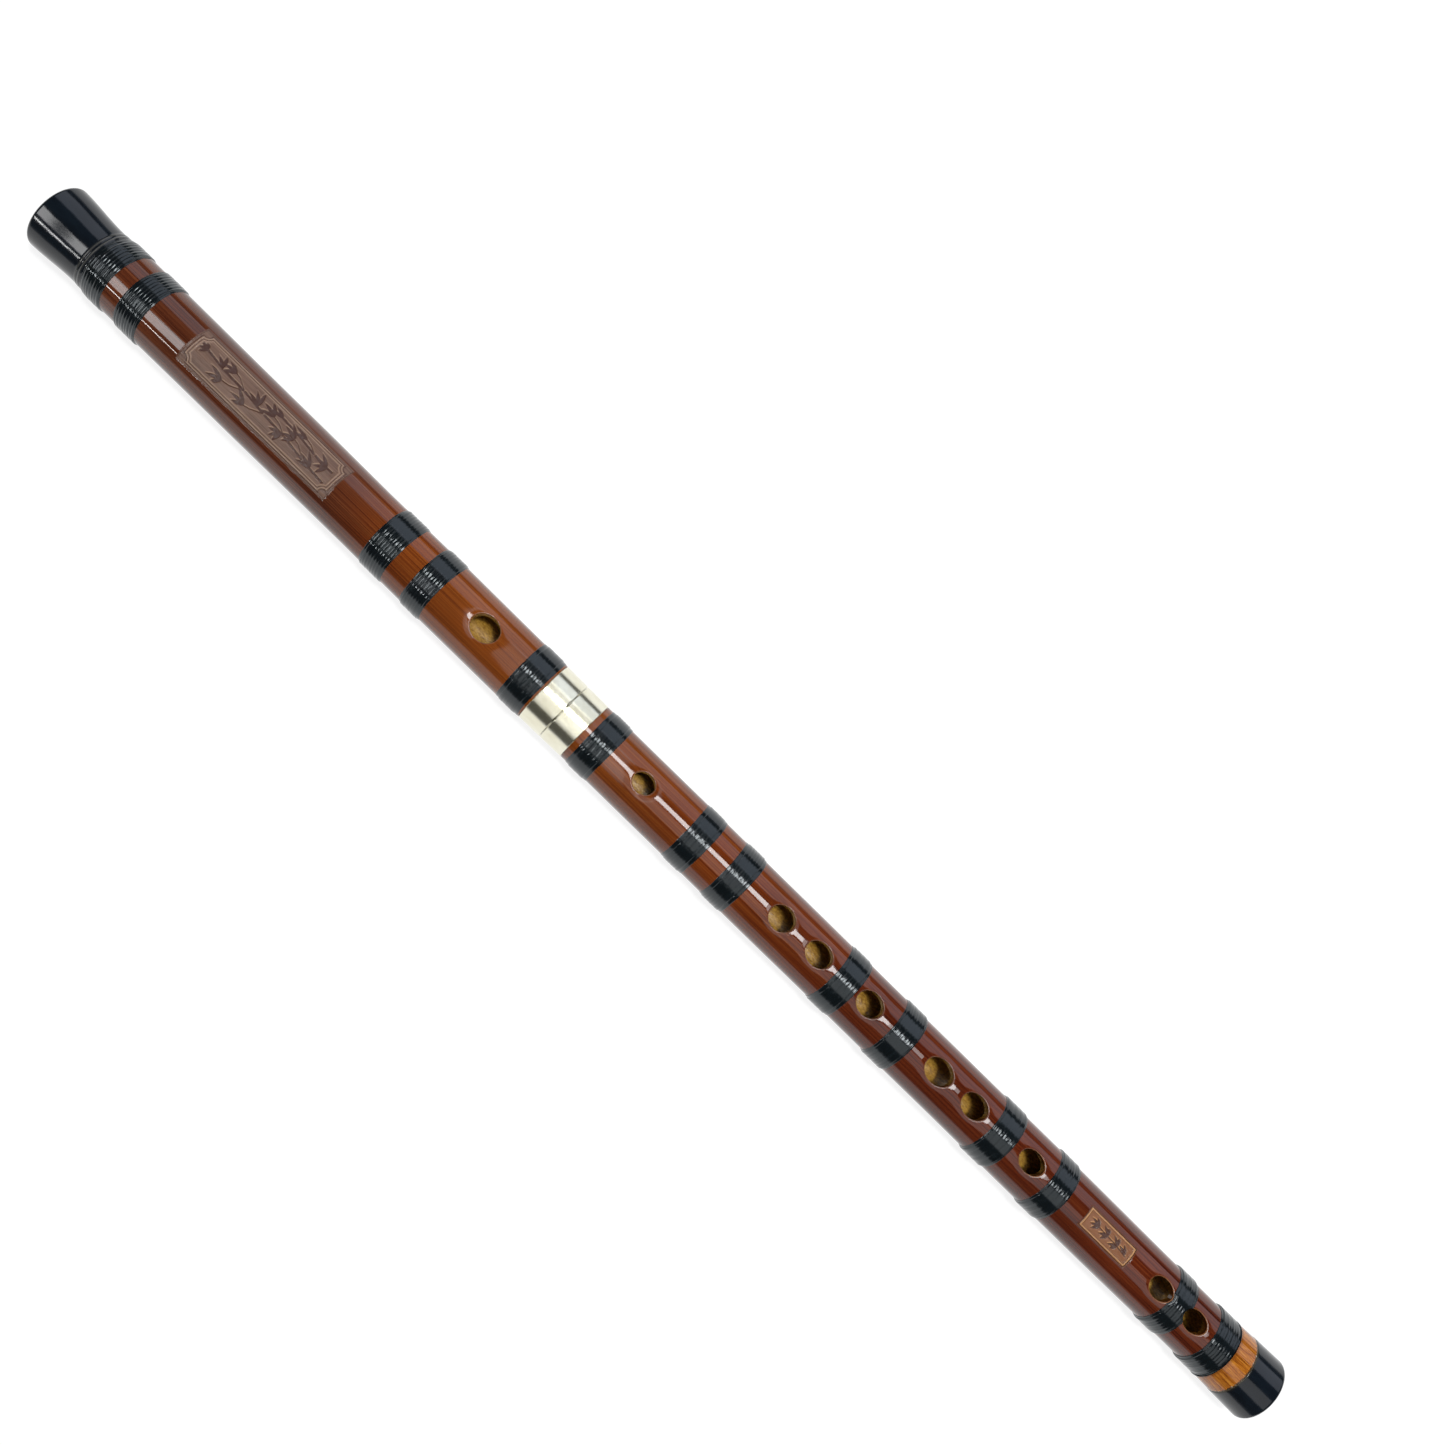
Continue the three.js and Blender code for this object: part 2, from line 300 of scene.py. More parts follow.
def turnedPiece(name, outline, finish, body, node, sides=160, marks=None):
    skin = newSkin()
    angles = np.linspace(0, 2 * math.pi, sides, endpoint=False)
    rings = []
    for s, r in supported(outline):
        radii = np.full(sides, float(r))
        extra = marks(s, r) if marks else {}
        rings.append(addRing(skin, s, angles, radii, **extra))
    for i, ring in enumerate(rings):
        joinRings(skin, ring, rings[(i + 1) % len(rings)])
    return finishPiece(name, skin, finish, body, node)


def smoothStep(value, low, high):
    t = np.clip((value - low) / (high - low), 0, 1)
    return t * t * (3 - 2 * t)


# colours of the bamboo, darkest first where there are several
bamboo = {
    "red": ((0.070, 0.0100, 0.0012), (0.138, 0.0235, 0.0022), (0.205, 0.053, 0.008)),
    "brown": ((0.038, 0.0070, 0.0024), (0.084, 0.020, 0.0070), (0.150, 0.050, 0.022)),
    "orange": (0.245, 0.070, 0.008),
    "vein": (0.026, 0.0035, 0.0012),
    "uncoloured": ((0.11, 0.028, 0.003), (0.31, 0.088, 0.006), (0.50, 0.195, 0.024)),
    "glue": (0.060, 0.024, 0.009),
    "glueChip": (0.52, 0.42, 0.30),
    "cut": ((0.20, 0.090, 0.010), (0.47, 0.270, 0.045)),
    "headPanel": ((0.078, 0.036, 0.023), (0.178, 0.099, 0.066)),
    "footPanel": (0.205, 0.072, 0.021),
    # the ink below is the strokes' dark and also painted shade in the panels' grooves and edges; the two
    # pale tones after it are painted highlights on the panels' ridges and banks, partly worn stain as
    # well
    "ink": (0.045, 0.014, 0.009),
    "highlitAndRubbed": (0.34, 0.22, 0.15),
    "highlitAndRubbedGold": (0.52, 0.27, 0.11),
    "streakAt": (0.39, 0.49, 0.61),  # where the three tones of a stain lie in its streaks
}

# where the stain changes, as stations
dye = {
    "headFades": (125.0, 160.0),
    "jointStarts": (130.0, 200.0),
    "jointEnds": (235.0, 300.0),
    "footStarts": (300.0, 385.0),
    "footPanelFrom": (440.0, 450.0),
    "headShare": 0.85,
    "jointShare": 0.75,
    "footShade": (0.62, 0.48, 0.75),
    "veinShare": 0.42,
    "ragged": 1.3,  # how far the glue line wanders
}

bandSpan = (spanOf("thread_binding_14")[1], spanOf("foot_ferrule")[0])
seamStation = (spanOf("head_collar")[1] + spanOf("foot_collar")[0]) / 2


def bambooFinish():
    finish, tree, shader, where = newFinish("stainedBamboo")
    split = addNode(tree, "SeparateXYZ", None, {"Vector": where})
    station = times(minus(split.outputs[0], headEnd), 1 / mm)
    raw = marked(tree, "raw")
    panel = marked(tree, "panel")
    ink = marked(tree, "ink")

    hair = fibre(where, (0.014, 3.0, 3.0), 3.0, 0.65)
    fine = fibre(where, (0.007, 1.3, 1.3), 3.0, 0.6)
    broad = fibre(where, (0.006, 0.22, 0.22), 2.0)
    cloud = fibre(where, (0.03, 0.05, 0.05), 2.0)

    streak = plus(times(hair, 0.52), times(fine, 0.34))
    streak = plus(streak, times(broad, 0.14))
    redTone = ramp(streak, bamboo["streakAt"], bamboo["red"])
    brownTone = ramp(streak, bamboo["streakAt"], bamboo["brown"])
    warmTone = blendColour(0.45, redTone, bamboo["orange"])

    # the stain runs from mahogany at the head through orange-brown at the joint to red-brown
    atHead = minus(1.0, band(station, *dye["headFades"]))
    pastJoint = band(station, *dye["jointEnds"])
    atJoint = times(band(station, *dye["jointStarts"]), minus(1.0, pastJoint))
    stain = blendColour(times(atHead, dye["headShare"]), redTone, brownTone)
    stain = blendColour(times(atJoint, dye["jointShare"]), stain, warmTone)
    shade = ramp(cloud, (0.3, 0.7), (0.85, 1.12))
    stain = blendColour(1.0, stain, shade, "MULTIPLY")
    atFoot = band(station, *dye["footStarts"])
    footShade = ramp(atFoot, (0.0, 1.0), ((1.0, 1.0, 1.0), dye["footShade"]))
    stain = blendColour(1.0, stain, footShade, "MULTIPLY")

    veinNoise = fibre(where, (0.0050, 2.6, 2.6), 1.0)
    vein = ramp(veinNoise, (0.60, 0.68), (0.0, 1.0))
    stain = blendColour(times(vein, dye["veinShare"]), stain, bamboo["vein"])

    # the uncoloured band by the foot ferrule, with its ragged glue line
    edgeNoise = fibre(where, (0.25, 0.55, 0.55), 4.0, 0.7)
    ragged = plus(station, times(edgeNoise, dye["ragged"]))
    bandStart = band(station, bandSpan[0] - 0.5, bandSpan[0] - 0.3)
    bandEnd = band(station, bandSpan[1] + 0.6, bandSpan[1] + 0.8)
    inBand = times(bandStart, minus(1.0, bandEnd))
    bandFibre = fibre(where, (0.10, 2.3, 2.3), 4.0, 0.7)
    bandTone = ramp(bandFibre, (0.34, 0.47, 0.66), bamboo["uncoloured"])
    # darker next to the binding at the band's head end
    darkerByBinding = minus(1.0, band(ragged, bandSpan[0] + 0.6, bandSpan[0] + 2.2))
    bandTone = blendColour(times(darkerByBinding, 0.55), bandTone, bamboo["uncoloured"][0])
    glueLine = band(ragged, bandSpan[1] + 0.05, bandSpan[1] + 0.40)
    bandTone = blendColour(glueLine, bandTone, bamboo["glue"])
    chipNoise = fibre(where, (1.3, 1.1, 1.1), 2.0)
    chips = times(glueLine, ramp(chipNoise, (0.60, 0.66), (0.0, 0.8)))
    bandTone = blendColour(chips, bandTone, bamboo["glueChip"])
    skinTone = blendColour(inBand, stain, bandTone)

    # engraved panels: bare, matt and pale, with dark strokes, painted shade in the grooves and painted
    # highlights on the ridges and banks
    panelFibre = fibre(where, (0.05, 2.4, 2.4), 4.0, 0.7)
    panelTone = ramp(panelFibre, (0.32, 0.66), bamboo["headPanel"])
    isFootPanel = band(station, *dye["footPanelFrom"])
    footTone = blendColour(0.15, bamboo["footPanel"], panelTone)
    panelTone = blendColour(isFootPanel, panelTone, footTone)
    skinTone = blendColour(panel, skinTone, panelTone)
    highlightAndWearTone = blendColour(isFootPanel, bamboo["highlitAndRubbed"], bamboo["highlitAndRubbedGold"])
    skinTone = blendColour(marked(tree, "rub"), skinTone, highlightAndWearTone)
    skinTone = blendColour(ink, skinTone, bamboo["ink"])

    # cut walls and bore: pale, short fibre ends
    cutFibre = fibre(where, (0.9, 1.6, 0.35), 4.0, 0.65)
    cutTone = ramp(cutFibre, (0.34, 0.66), bamboo["cut"])
    tone = blendColour(raw, skinTone, cutTone)
    tree.links.new(tone, shader.inputs["Base Color"])

    matt = larger(panel, raw)
    smudge = fibre(where, (0.07, 0.2, 0.2))
    gloss = plus(0.02, times(smudge, 0.09))
    duller = minus(times(matt, 0.24), times(ink, 0.14))
    tree.links.new(plus(gloss, duller, clamp=True), shader.inputs["Roughness"])
    shader.inputs["IOR"].default_value = 1.52

    low = bumpFrom(tree, shader, fine, 0.000012)
    grooves = times(panelFibre, panel)
    high = bumpFrom(tree, shader, grooves, 0.00018, low)
    bumpFrom(tree, shader, times(cutFibre, raw), 0.00012, high)
    return finish


stainedBamboo = bambooFinish()


culm = {
    "radius": 11.5,
    "bore": 7.55,
    "headTaper": [(0, 0.22), (0.48, 0.11), (0.61, -0.02), (0.76, 0.2), (1, 0.1)],
    "footTaper": [(0, -0.12), (0.33, -0.24), (0.65, -0.27), (0.77, -0.38), (0.84, -0.55), (1, -0.55)],
    "bandRadius": (11.46, 11.70),
    "spigot": 9.3,
    "sleeveSeat": 9.65,
    "tenonSeat": 8.7,
    "collarStep": 0.75,  # the bamboo is turned down by this under a collar
    "gap": 0.15,  # left at each shoulder
    "chamfer": 0.3,
    "smallChamfer": 0.2,
    "seatDepth": 0.38,  # each binding lies in a seat
    "seatSlope": (0.25, 0.45),  # from its ends
    "ventSeatTrim": (1.7, 2.8),  # keeps the seat between the vents clear of them
    "lip": 0.50,  # rounding of the holes
    # share of pale painted highlight and wear on each hole's lip
    "lipHighlightAndWear": 0.34,
    "dish": 0.21,  # the skin is eased down by this round each hole
    "dishReach": 1.2,
    "topRadius": 11.4,  # where the holes are
    "swell": 0.035,
}
footEnd = spanOf("foot_ferrule")[1]
bindingSpans = [spanOf("thread_binding_%02d" % i) for i in range(1, 15)]
plainSeats = bindingSpans[1:12] + bindingSpans[13:]
ventSeat = (bindingSpans[12][0] + culm["ventSeatTrim"][0], bindingSpans[12][1] - culm["ventSeatTrim"][1])
seats = plainSeats + [ventSeat]


def bareRadius(s):
    s = np.asarray(s, float)
    head = np.interp(s / seamStation, *zip(*culm["headTaper"]))
    foot = np.interp((s - seamStation) / (footEnd - seamStation), *zip(*culm["footTaper"]))
    radius = culm["radius"] + np.where(s < seamStation, head, foot)
    inBand = s > bandSpan[0] - 0.2
    flare = np.interp(s, bandSpan, culm["bandRadius"])
    return np.where(inBand, flare, radius)


def skinRadius(s, angles):
    # the culm's own shape, a little out of round, with a seat under each binding
    s = np.asarray(s, float)
    slow = np.sin(s / 23 + 1.7 * np.cos(angles)) + 0.6 * np.sin(s / 9.3 + 2.1 * np.sin(angles))
    ridge = 0.35 * np.sin(5 * angles + s / 61) + 0.25 * np.sin(11 * angles - s / 47)
    radius = bareRadius(s) + culm["swell"] * (slow + ridge)
    outer, inner = culm["seatSlope"]
    for start, end in seats:
        sunk = smoothStep(s, start + outer, start + inner) * (1 - smoothStep(s, end - inner, end - outer))
        radius = radius - culm["seatDepth"] * sunk
    return radius


def dishDepth(s, across, side, holes):
    depth = 0.0
    for hole in holes:
        if hole["side"] != side:
            continue
        reach = np.hypot((s - hole["at"]) / hole["long"], across / hole["wide"])
        away = np.maximum(reach - 1, 0) * (hole["long"] + hole["wide"]) / 2
        depth = depth + culm["dish"] * np.exp(-(away / culm["dishReach"]) ** 2)
    return depth


# both engraved panels, in millimetres: u runs along the panel and v across it
engraving = {
    "soft": 0.16,  # edge of a stroke
    "grooveDepth": 0.06,
    "bankDepth": 0.09,
    "bankShift": (0.26, -0.30),
    "inkShare": 0.90,
    "leafShrink": 0.07,  # each leaf of a bunch is this much shorter than the one before
}


def strokeMask(u, v, points, halfWidth):
    # a stem, as a line through points
    mask = np.zeros_like(u)
    for (u0, v0), (u1, v1) in zip(points[:-1], points[1:]):
        du = u1 - u0
        dv = v1 - v0
        along = np.clip(((u - u0) * du + (v - v0) * dv) / (du ** 2 + dv ** 2), 0, 1)
        away = np.hypot(u - u0 - along * du, v - v0 - along * dv)
        mask = np.maximum(mask, np.clip((halfWidth - away) / engraving["soft"] + 0.5, 0, 1))
    return mask


def leafMask(u, v, root, heading, length, halfWidth):
    turn = math.radians(heading)
    along = ((u - root[0]) * math.cos(turn) + (v - root[1]) * math.sin(turn)) / length
    across = -(u - root[0]) * math.sin(turn) + (v - root[1]) * math.cos(turn)
    across = across + 0.35 * halfWidth * np.sin(along * 2.6)  # a slight curve
    inside = np.clip(along, 0, 1)
    width = halfWidth * np.sin(math.pi * inside ** 0.75)
    shape = np.clip((width - np.abs(across)) / engraving["soft"] + 0.5, 0, 1)
    return np.where((along > 0) & (along < 1), shape, 0)


def drawBunches(mask, u, v, bunches, halfWidth):
    # each bunch is (root, headings of its leaves, length of the first)
    for root, headings, length in bunches:
        for k, heading in enumerate(headings):
            shorter = length * (1 - engraving["leafShrink"] * k)
            mask = np.maximum(mask, leafMask(u, v, root, heading, shorter, halfWidth))
    return mask


def frameShape(u, v, halfLong, halfWide, notch):
    # distance outside a rectangle with hollow corners, negative inside
    box = np.maximum(np.abs(u) - halfLong, np.abs(v) - halfWide)
    corner = np.hypot(np.abs(u) - halfLong, np.abs(v) - halfWide)
    return np.maximum(box, notch - corner)


headEngraving = {
    "centre": 95.895,
    "halfLong": 32.65,
    "halfWide": 7.65,
    "depth": 0.27,
    "border": 1.5,
    "notch": 2.2,
    "lineGap": 0.95,
    "lineWidth": 0.24,
    "innerLine": 0.85,
    "lineHeight": 0.24,
    "inkDepth": 0.20,
}
footEngraving = {
    "centre": 481.461,
    "halfLong": 10.8,
    "halfWide": 4.35,
    "depth": 0.26,
    "border": 0.80,
    "notch": 0.0,
    "lineGap": 0.75,
    "lineWidth": 0.32,
    "innerLine": 0.0,
    "lineHeight": 0.24,
    "inkDepth": 0.15,
}


def headMotif(u, v):
    # a spray of bamboo along the panel: two jointed stems, twigs, and leaves in bunches
    stems = [
        [(28.6, -3.4), (19.0, -2.6), (9.5, -1.2), (0.0, -0.6), (-9.5, 0.4), (-19.0, 0.7), (-27.6, 1.9)],
        [(28.4, 1.2), (20.5, 1.6), (12.0, 2.6), (5.0, 3.1)],
    ]
    twigs = [
        [(19.0, -2.6), (14.8, 0.2), (12.6, 0.6)],
        [(9.5, -1.2), (5.6, 0.8), (3.0, 1.2)],
        [(0.0, -0.6), (-4.2, -2.6), (-6.6, -3.2)],
        [(-9.5, 0.4), (-13.4, 2.6), (-15.6, 3.0)],
        [(-9.5, 0.4), (-14.0, -1.8), (-17.6, -2.4)],
        [(20.5, 1.6), (17.4, 3.2), (15.4, 3.6)],
    ]
    mask = np.zeros_like(u)
    for points in stems:
        mask = np.maximum(mask, strokeMask(u, v, points, 0.40))
        for point in points[1:-1]:  # joints are left as fine gaps in the stem
            gap = np.hypot((u - point[0]) / 0.28, (v - point[1]) / 0.8)
            mask = mask * smoothStep(gap, 0.55, 1.0)
    for points in twigs:
        mask = np.maximum(mask, strokeMask(u, v, points, 0.17))
    bunches = [
        ((-27.0, 1.9), (172, 205, 238, 142), 3.6),
        ((-19.4, 0.8), (118, 150), 5.4),
        ((-16.8, -2.3), (168, 200, 232), 6.4),
        ((-15.2, 3.0), (160, 188, 216), 6.0),
        ((-6.4, -3.1), (150, 180, 208), 6.6),
        ((-3.0, -0.2), (108, 136, 164), 6.2),
        ((3.2, 1.2), (138, 168, 198), 6.4),
        ((5.2, 3.1), (160, 190), 5.6),
        ((8.6, -1.4), (196, 226, 256), 4.8),
        ((12.8, 0.6), (140, 168, 200, 230), 6.0),
        ((15.4, 3.6), (172, 200), 6.2),
        ((22.6, -2.9), (136, 164, 192), 6.4),
        ((26.4, 1.2), (150, 182, 214, 246), 5.6),
    ]
    return drawBunches(mask, u, v, bunches, 0.66)


def footMotif(u, v):
    mask = strokeMask(u, v, [(8.6, -0.9), (3.0, -0.1), (-5.0, 0.3)], 0.24)
    bunches = [
        ((-4.4, 0.3), (138, 168, 198, 228), 4.3),
        ((-0.2, 0.1), (116, 146, 206, 238), 4.5),
        ((4.4, -0.3), (112, 142, 208, 238), 4.5),
        ((8.2, -0.8), (128, 158), 4.0),
    ]
    return drawBunches(mask, u, v, bunches, 0.60)


def carve(s, angles, panel, motif):
    # depth below the skin, with the shares of bare matt wood, dark stroke with painted shade in the
    # grooves and along the panel's edge, and painted highlight on the ridges, banks and stroke edges
    u = s - panel["centre"]
    v = culm["radius"] * angles
    u, v = np.broadcast_arrays(np.asarray(u, float), np.asarray(v, float))
    outside = np.maximum(np.abs(u) - panel["halfLong"], np.abs(v) - panel["halfWide"])
    inside = 1 - smoothStep(outside, -0.24, 0.0)
    border = panel["border"]
    field = frameShape(u, v, panel["halfLong"] - border, panel["halfWide"] - border, panel["notch"])
    lineWidth = panel["lineWidth"]
    ridge = np.exp(-(field / lineWidth) ** 2)
    innerRidge = panel["innerLine"] * np.exp(-((field + panel["lineGap"]) / lineWidth) ** 2)
    groove = np.exp(-((field - 2 * lineWidth) / lineWidth) ** 2)
    groove = groove + 0.8 * np.exp(-((field + panel["lineGap"] / 2) / 0.15) ** 2)
    inField = 1 - smoothStep(field, -panel["lineGap"] - 0.6, -panel["lineGap"] - 0.3)
    mask = motif(u, v) * inField
    # a dark line just inside the panel's edge, painted shade
    rim = np.exp(-((outside + 0.30) / 0.16) ** 2)
    edge = 4 * mask * (1 - mask)
    raised = np.clip(ridge + innerRidge, 0, 1)
    # the strokes stand in a shallow trough, so their banks catch the light; each bank, shifted to one
    # side, is also painted lighter as a painted highlight
    shift = engraving["bankShift"]
    bank = motif(u + shift[0], v + shift[1]) * inField * (1 - mask)
    depth = panel["depth"] - panel["lineHeight"] * raised + engraving["grooveDepth"] * groove
    depth = inside * (depth + panel["inkDepth"] * mask - engraving["bankDepth"] * bank)
    matt = 1 - smoothStep(outside, -0.16, 0.02)
    # the strokes' edges are left a little lighter, a painted highlight
    inked = mask * (engraving["inkShare"] - 0.2 * edge)
    # painted shade: the grooves and the line along the panel's inner edge are darkened with the strokes'
    # dark
    strokeAndShade = inside * np.clip(inked + groove * 0.72 + 0.55 * rim, 0, 1)
    # painted highlight: the ridges, the one-sided banks and the strokes' edges are painted pale
    highlitAndRubbed = inside * np.clip(raised * 0.85 + 0.80 * bank + 0.25 * edge * inField, 0, 1)
    return depth, matt, strokeAndShade, highlitAndRubbed


# rings and lines of the tubes' meshes, in millimetres and degrees
grid = {
    "step": 2.6,
    "boreStep": 9.0,
    "holeStep": 1.05,
    "holeMargin": 2.2,  # from a hole to the edge of its patch
    "patchHalf": 36.0,  # half of the sector that a hole's patch takes
    "coarseAngle": 4.0,
    "lipSteps": 7,
    "patchSteps": (0.16, 0.32, 0.47, 0.60, 0.72, 0.83, 0.92),
    "wallSteps": (0.06, 0.3, 0.55, 0.8, 1.0),
    "boreSteps": (0.35, 0.7),
    "near": 1e-6,  # closer than this is the same place
}


def gridLines(low, high, step, fixed, zones):
    # stations from low to high: coarse, but finer inside each zone (start, end, step)
    zoneEdges = [edge for zone in zones for edge in zone[:2]]
    stops = sorted({low, high, *[edge for edge in fixed + zoneEdges if low < edge < high]})
    lines = [stops[0]]
    for start, end in zip(stops[:-1], stops[1:]):
        middle = (start + end) / 2
        local = min([step] + [z[2] for z in zones if z[0] <= middle <= z[1]])
        count = max(1, round((end - start) / local))
        lines.extend(start + (end - start) * k / count for k in range(1, count + 1))
    return lines


def angleLines(fineHalf, fineStep):
    # degrees, starting at -90 so that neither the top nor the underside is split
    count = round(2 * fineHalf / fineStep)
    fineOnes = [-fineHalf + 2 * fineHalf * k / count for k in range(count + 1)]
    rest = round((360 - 2 * fineHalf) / grid["coarseAngle"])
    others = [fineHalf + (360 - 2 * fineHalf) * k / rest for k in range(1, rest)]
    both = [a - 360 if a >= 270 else a for a in fineOnes + others]
    return np.radians(sorted(both))


def cutHole(skin, hole, outerEdge, innerEdge, outerHeight):
    # joins the open rectangles in skin and bore by rings that turn into the hole's oval
    points = np.concatenate(skin["points"])
    outer = points[outerEdge]
    inner = points[innerEdge]
    lip = culm["lip"]
    side = hole["side"]
    halfLong = np.abs(outer[:, 0] - hole["at"]).max()
    halfWide = np.abs(outer[:, 1]).max()
    turn = np.arctan2(outer[:, 1] / halfWide, (outer[:, 0] - hole["at"]) / halfLong)
    rings = [outerEdge]

    def oval(extra):
        s = hole["at"] + (hole["long"] + extra) * np.cos(turn)
        return s, (hole["wide"] + extra) * np.sin(turn)

    def boreHeight(y):
        return side * np.sqrt(culm["bore"] ** 2 - y ** 2)

    lipS, lipY = oval(lip)
    for t in grid["patchSteps"]:
        s = outer[:, 0] + (lipS - outer[:, 0]) * t
        y = outer[:, 1] + (lipY - outer[:, 1]) * t
        rings.append(addPoints(skin, s, y, outerHeight(s, y)))
    for k in range(grid["lipSteps"] + 1):
        turnDown = math.pi / 2 * k / grid["lipSteps"]
        s, y = oval(lip * (1 - math.sin(turnDown)))
        sink = lip * (1 - math.cos(turnDown)) * side
        # painted highlight along the rounded lip, partly worn stain as well
        worn = culm["lipHighlightAndWear"] * math.sin(2 * turnDown) ** 2
        rings.append(addPoints(skin, s, y, outerHeight(s, y) - sink, rub=worn))
    s, y = oval(0.0)
    top = outerHeight(s, y) - lip * side
    for t in grid["wallSteps"]:
        stainLeft = 0.04 + 0.36 * t
        rings.append(addPoints(skin, s, y, top + (boreHeight(y) - top) * t, raw=stainLeft))
    for t in grid["boreSteps"]:
        ringS = s + (inner[:, 0] - s) * t
        ringY = y + (inner[:, 1] - y) * t
        rings.append(addPoints(skin, ringS, ringY, boreHeight(ringY), raw=1.0))
    rings.append(innerEdge)
    for first, second in zip(rings[:-1], rings[1:]):
        joinRings(skin, first, second)


def patchSpans(tube):
    # first and last station of the patch round each hole
    reach = [hole["long"] + grid["holeMargin"] for hole in tube["holes"]]
    return [(hole["at"] - far, hole["at"] + far) for hole, far in zip(tube["holes"], reach)]


def skinLines(tube, patches):
    fixed = [edge for patch in patches for edge in patch] + tube["extraLines"]
    outer, inner = culm["seatSlope"]
    for start, end in seats:
        for inset in (outer, (outer + inner) / 2, inner):
            fixed += [start + inset, end - inset]
    zones = [(start, end, grid["holeStep"]) for start, end in patches] + [tube["panelZone"]]
    return gridLines(*tube["bare"], grid["step"], fixed, zones)


def addSkinRing(skin, s, angles, tube):
    depth, matt, strokeAndShade, highlitAndRubbed = carve(s, angles, tube["panel"], tube["motif"])
    radius = skinRadius(s, angles) - depth
    across = radius * np.sin(angles)
    height = radius * np.cos(angles)
    for side in (1, -1):
        facing = np.cos(angles) * side > 0.5
        height = height - np.where(facing, side * dishDepth(s, across, side, tube["holes"]), 0)
    return addPoints(skin, s, across, height, panel=matt, ink=strokeAndShade, rub=highlitAndRubbed)


def boreLines(tube, lines, patches):
    # the inside from the far end back; where the bore is plain its rings follow the patches
    def inPatch(s):
        return any(start <= s <= end for start, end in patches)

    inside = []
    for (s0, r0), (s1, r1) in zip(tube["inside"][:-1], tube["inside"][1:]):
        inside.append((s0, r0))
        if r0 == r1 == culm["bore"]:
            wanted = {s for s in lines if inPatch(s) and s1 < s < s0}
            edges = [edge for patch in patches for edge in patch]
            spare = gridLines(s1, s0, grid["boreStep"], edges, [])
            wanted |= {s for s in spare[1:-1] if not inPatch(s)}
            inside += [(s, r0) for s in sorted(wanted, reverse=True)]
    inside.append(tube["inside"][-1])
    return inside


def openPatch(rows, kind, span, columns, openFaces):
    # leaves the faces of a patch out, and gives the loop of points round it
    hits = [(s, i) for i, (s, rowKind, _) in enumerate(rows)
            if rowKind == kind and span[0] - grid["near"] <= s <= span[1] + grid["near"]]
    order = [i for _, i in sorted(hits)]
    for i in order:
        if (i + 1) % len(rows) in order:
            openFaces.setdefault(i, set()).update(columns[:-1])
    loop = [(order[0], j) for j in columns[:-1]]
    loop += [(i, columns[-1]) for i in order[:-1]]
    loop += [(order[-1], j) for j in reversed(columns[1:])]
    loop += [(i, columns[0]) for i in reversed(order[1:])]
    return np.array([rows[i][2][j] for i, j in loop])


def dropLoosePoints(skin):
    # points inside the open patches are left over
    used = np.zeros(skin["count"], bool)
    for face in skin["faces"]:
        used[list(face)] = True
    renumber = np.cumsum(used) - 1
    skin["points"] = [np.concatenate(skin["points"])[used]]
    skin["marks"] = {key: [np.concatenate(parts)[used]] for key, parts in skin["marks"].items()}
    skin["faces"] = [tuple(renumber[list(face)]) for face in skin["faces"]]


def bambooTube(name, tube):
    # one closed loop of rings, along the skin and back through the bore
    skin = newSkin()
    angles = angleLines(*tube["fineAngles"])
    patches = patchSpans(tube)
    lines = skinLines(tube, patches)
    rows = []

    def addRow(kind, s, r):
        rows.append((s, kind, addRing(skin, s, angles, np.full(len(angles), r), raw=1.0)))

    for s, r in tube["before"]:
        addRow("turned", s, r)
    for s in lines:
        rows.append((s, "outer", addSkinRing(skin, s, angles, tube)))
    for s, r in tube["after"]:
        addRow("turned", s, r)
    for s, r in boreLines(tube, lines, patches):
        addRow("inner", s, r)

    openFaces = {}
    edges = []
    for hole, patch in zip(tube["holes"], patches):
        middle = 0 if hole["side"] > 0 else math.pi
        limit = math.radians(grid["patchHalf"]) + grid["near"]
        columns = [j for j, angle in enumerate(angles) if abs(angle - middle) <= limit]
        edges.append([openPatch(rows, kind, patch, columns, openFaces) for kind in ("outer", "inner")])
    for i, row in enumerate(rows):
        joinRings(skin, row[2], rows[(i + 1) % len(rows)][2], openFaces.get(i, ()))

    def skinHeight(side):
        def height(s, y):
            angle = np.arcsin(np.clip(y / culm["topRadius"], -1, 1))
            angle = angle if side > 0 else math.pi - angle
            radius = skinRadius(s, angle)
            return side * (np.sqrt(radius ** 2 - y ** 2) - dishDepth(s, y, side, tube["holes"]))
        return height

    for hole, (outerEdge, innerEdge) in zip(tube["holes"], edges):
        cutHole(skin, hole, outerEdge, innerEdge, skinHeight(hole["side"]))
    dropLoosePoints(skin)
    return finishPiece(name, skin, stainedBamboo, tube["body"], tube["node"], 50)


collarStart = spanOf("head_collar")[0]
collarEnd = spanOf("foot_collar")[1]
sleeveStart = spanOf("socket_sleeve")[0]
tenonEnd = spanOf("tenon_tube")[1]
headTubeSpan = spanOf("head_tube")
footTubeSpan = spanOf("foot_tube")
capBinding = bindingSpans[0]
capEnd = spanOf("head_cap")[1]
headLand = float(bareRadius(collarStart)) - culm["collarStep"]
footLand = float(bareRadius(collarEnd)) - culm["collarStep"]
capSeat = 10.93  # one seat under the first binding, across the cap's skirt and the bamboo
capNeck = 11.33
gap = culm["gap"]
chamfer = culm["chamfer"]
smallChamfer = culm["smallChamfer"]

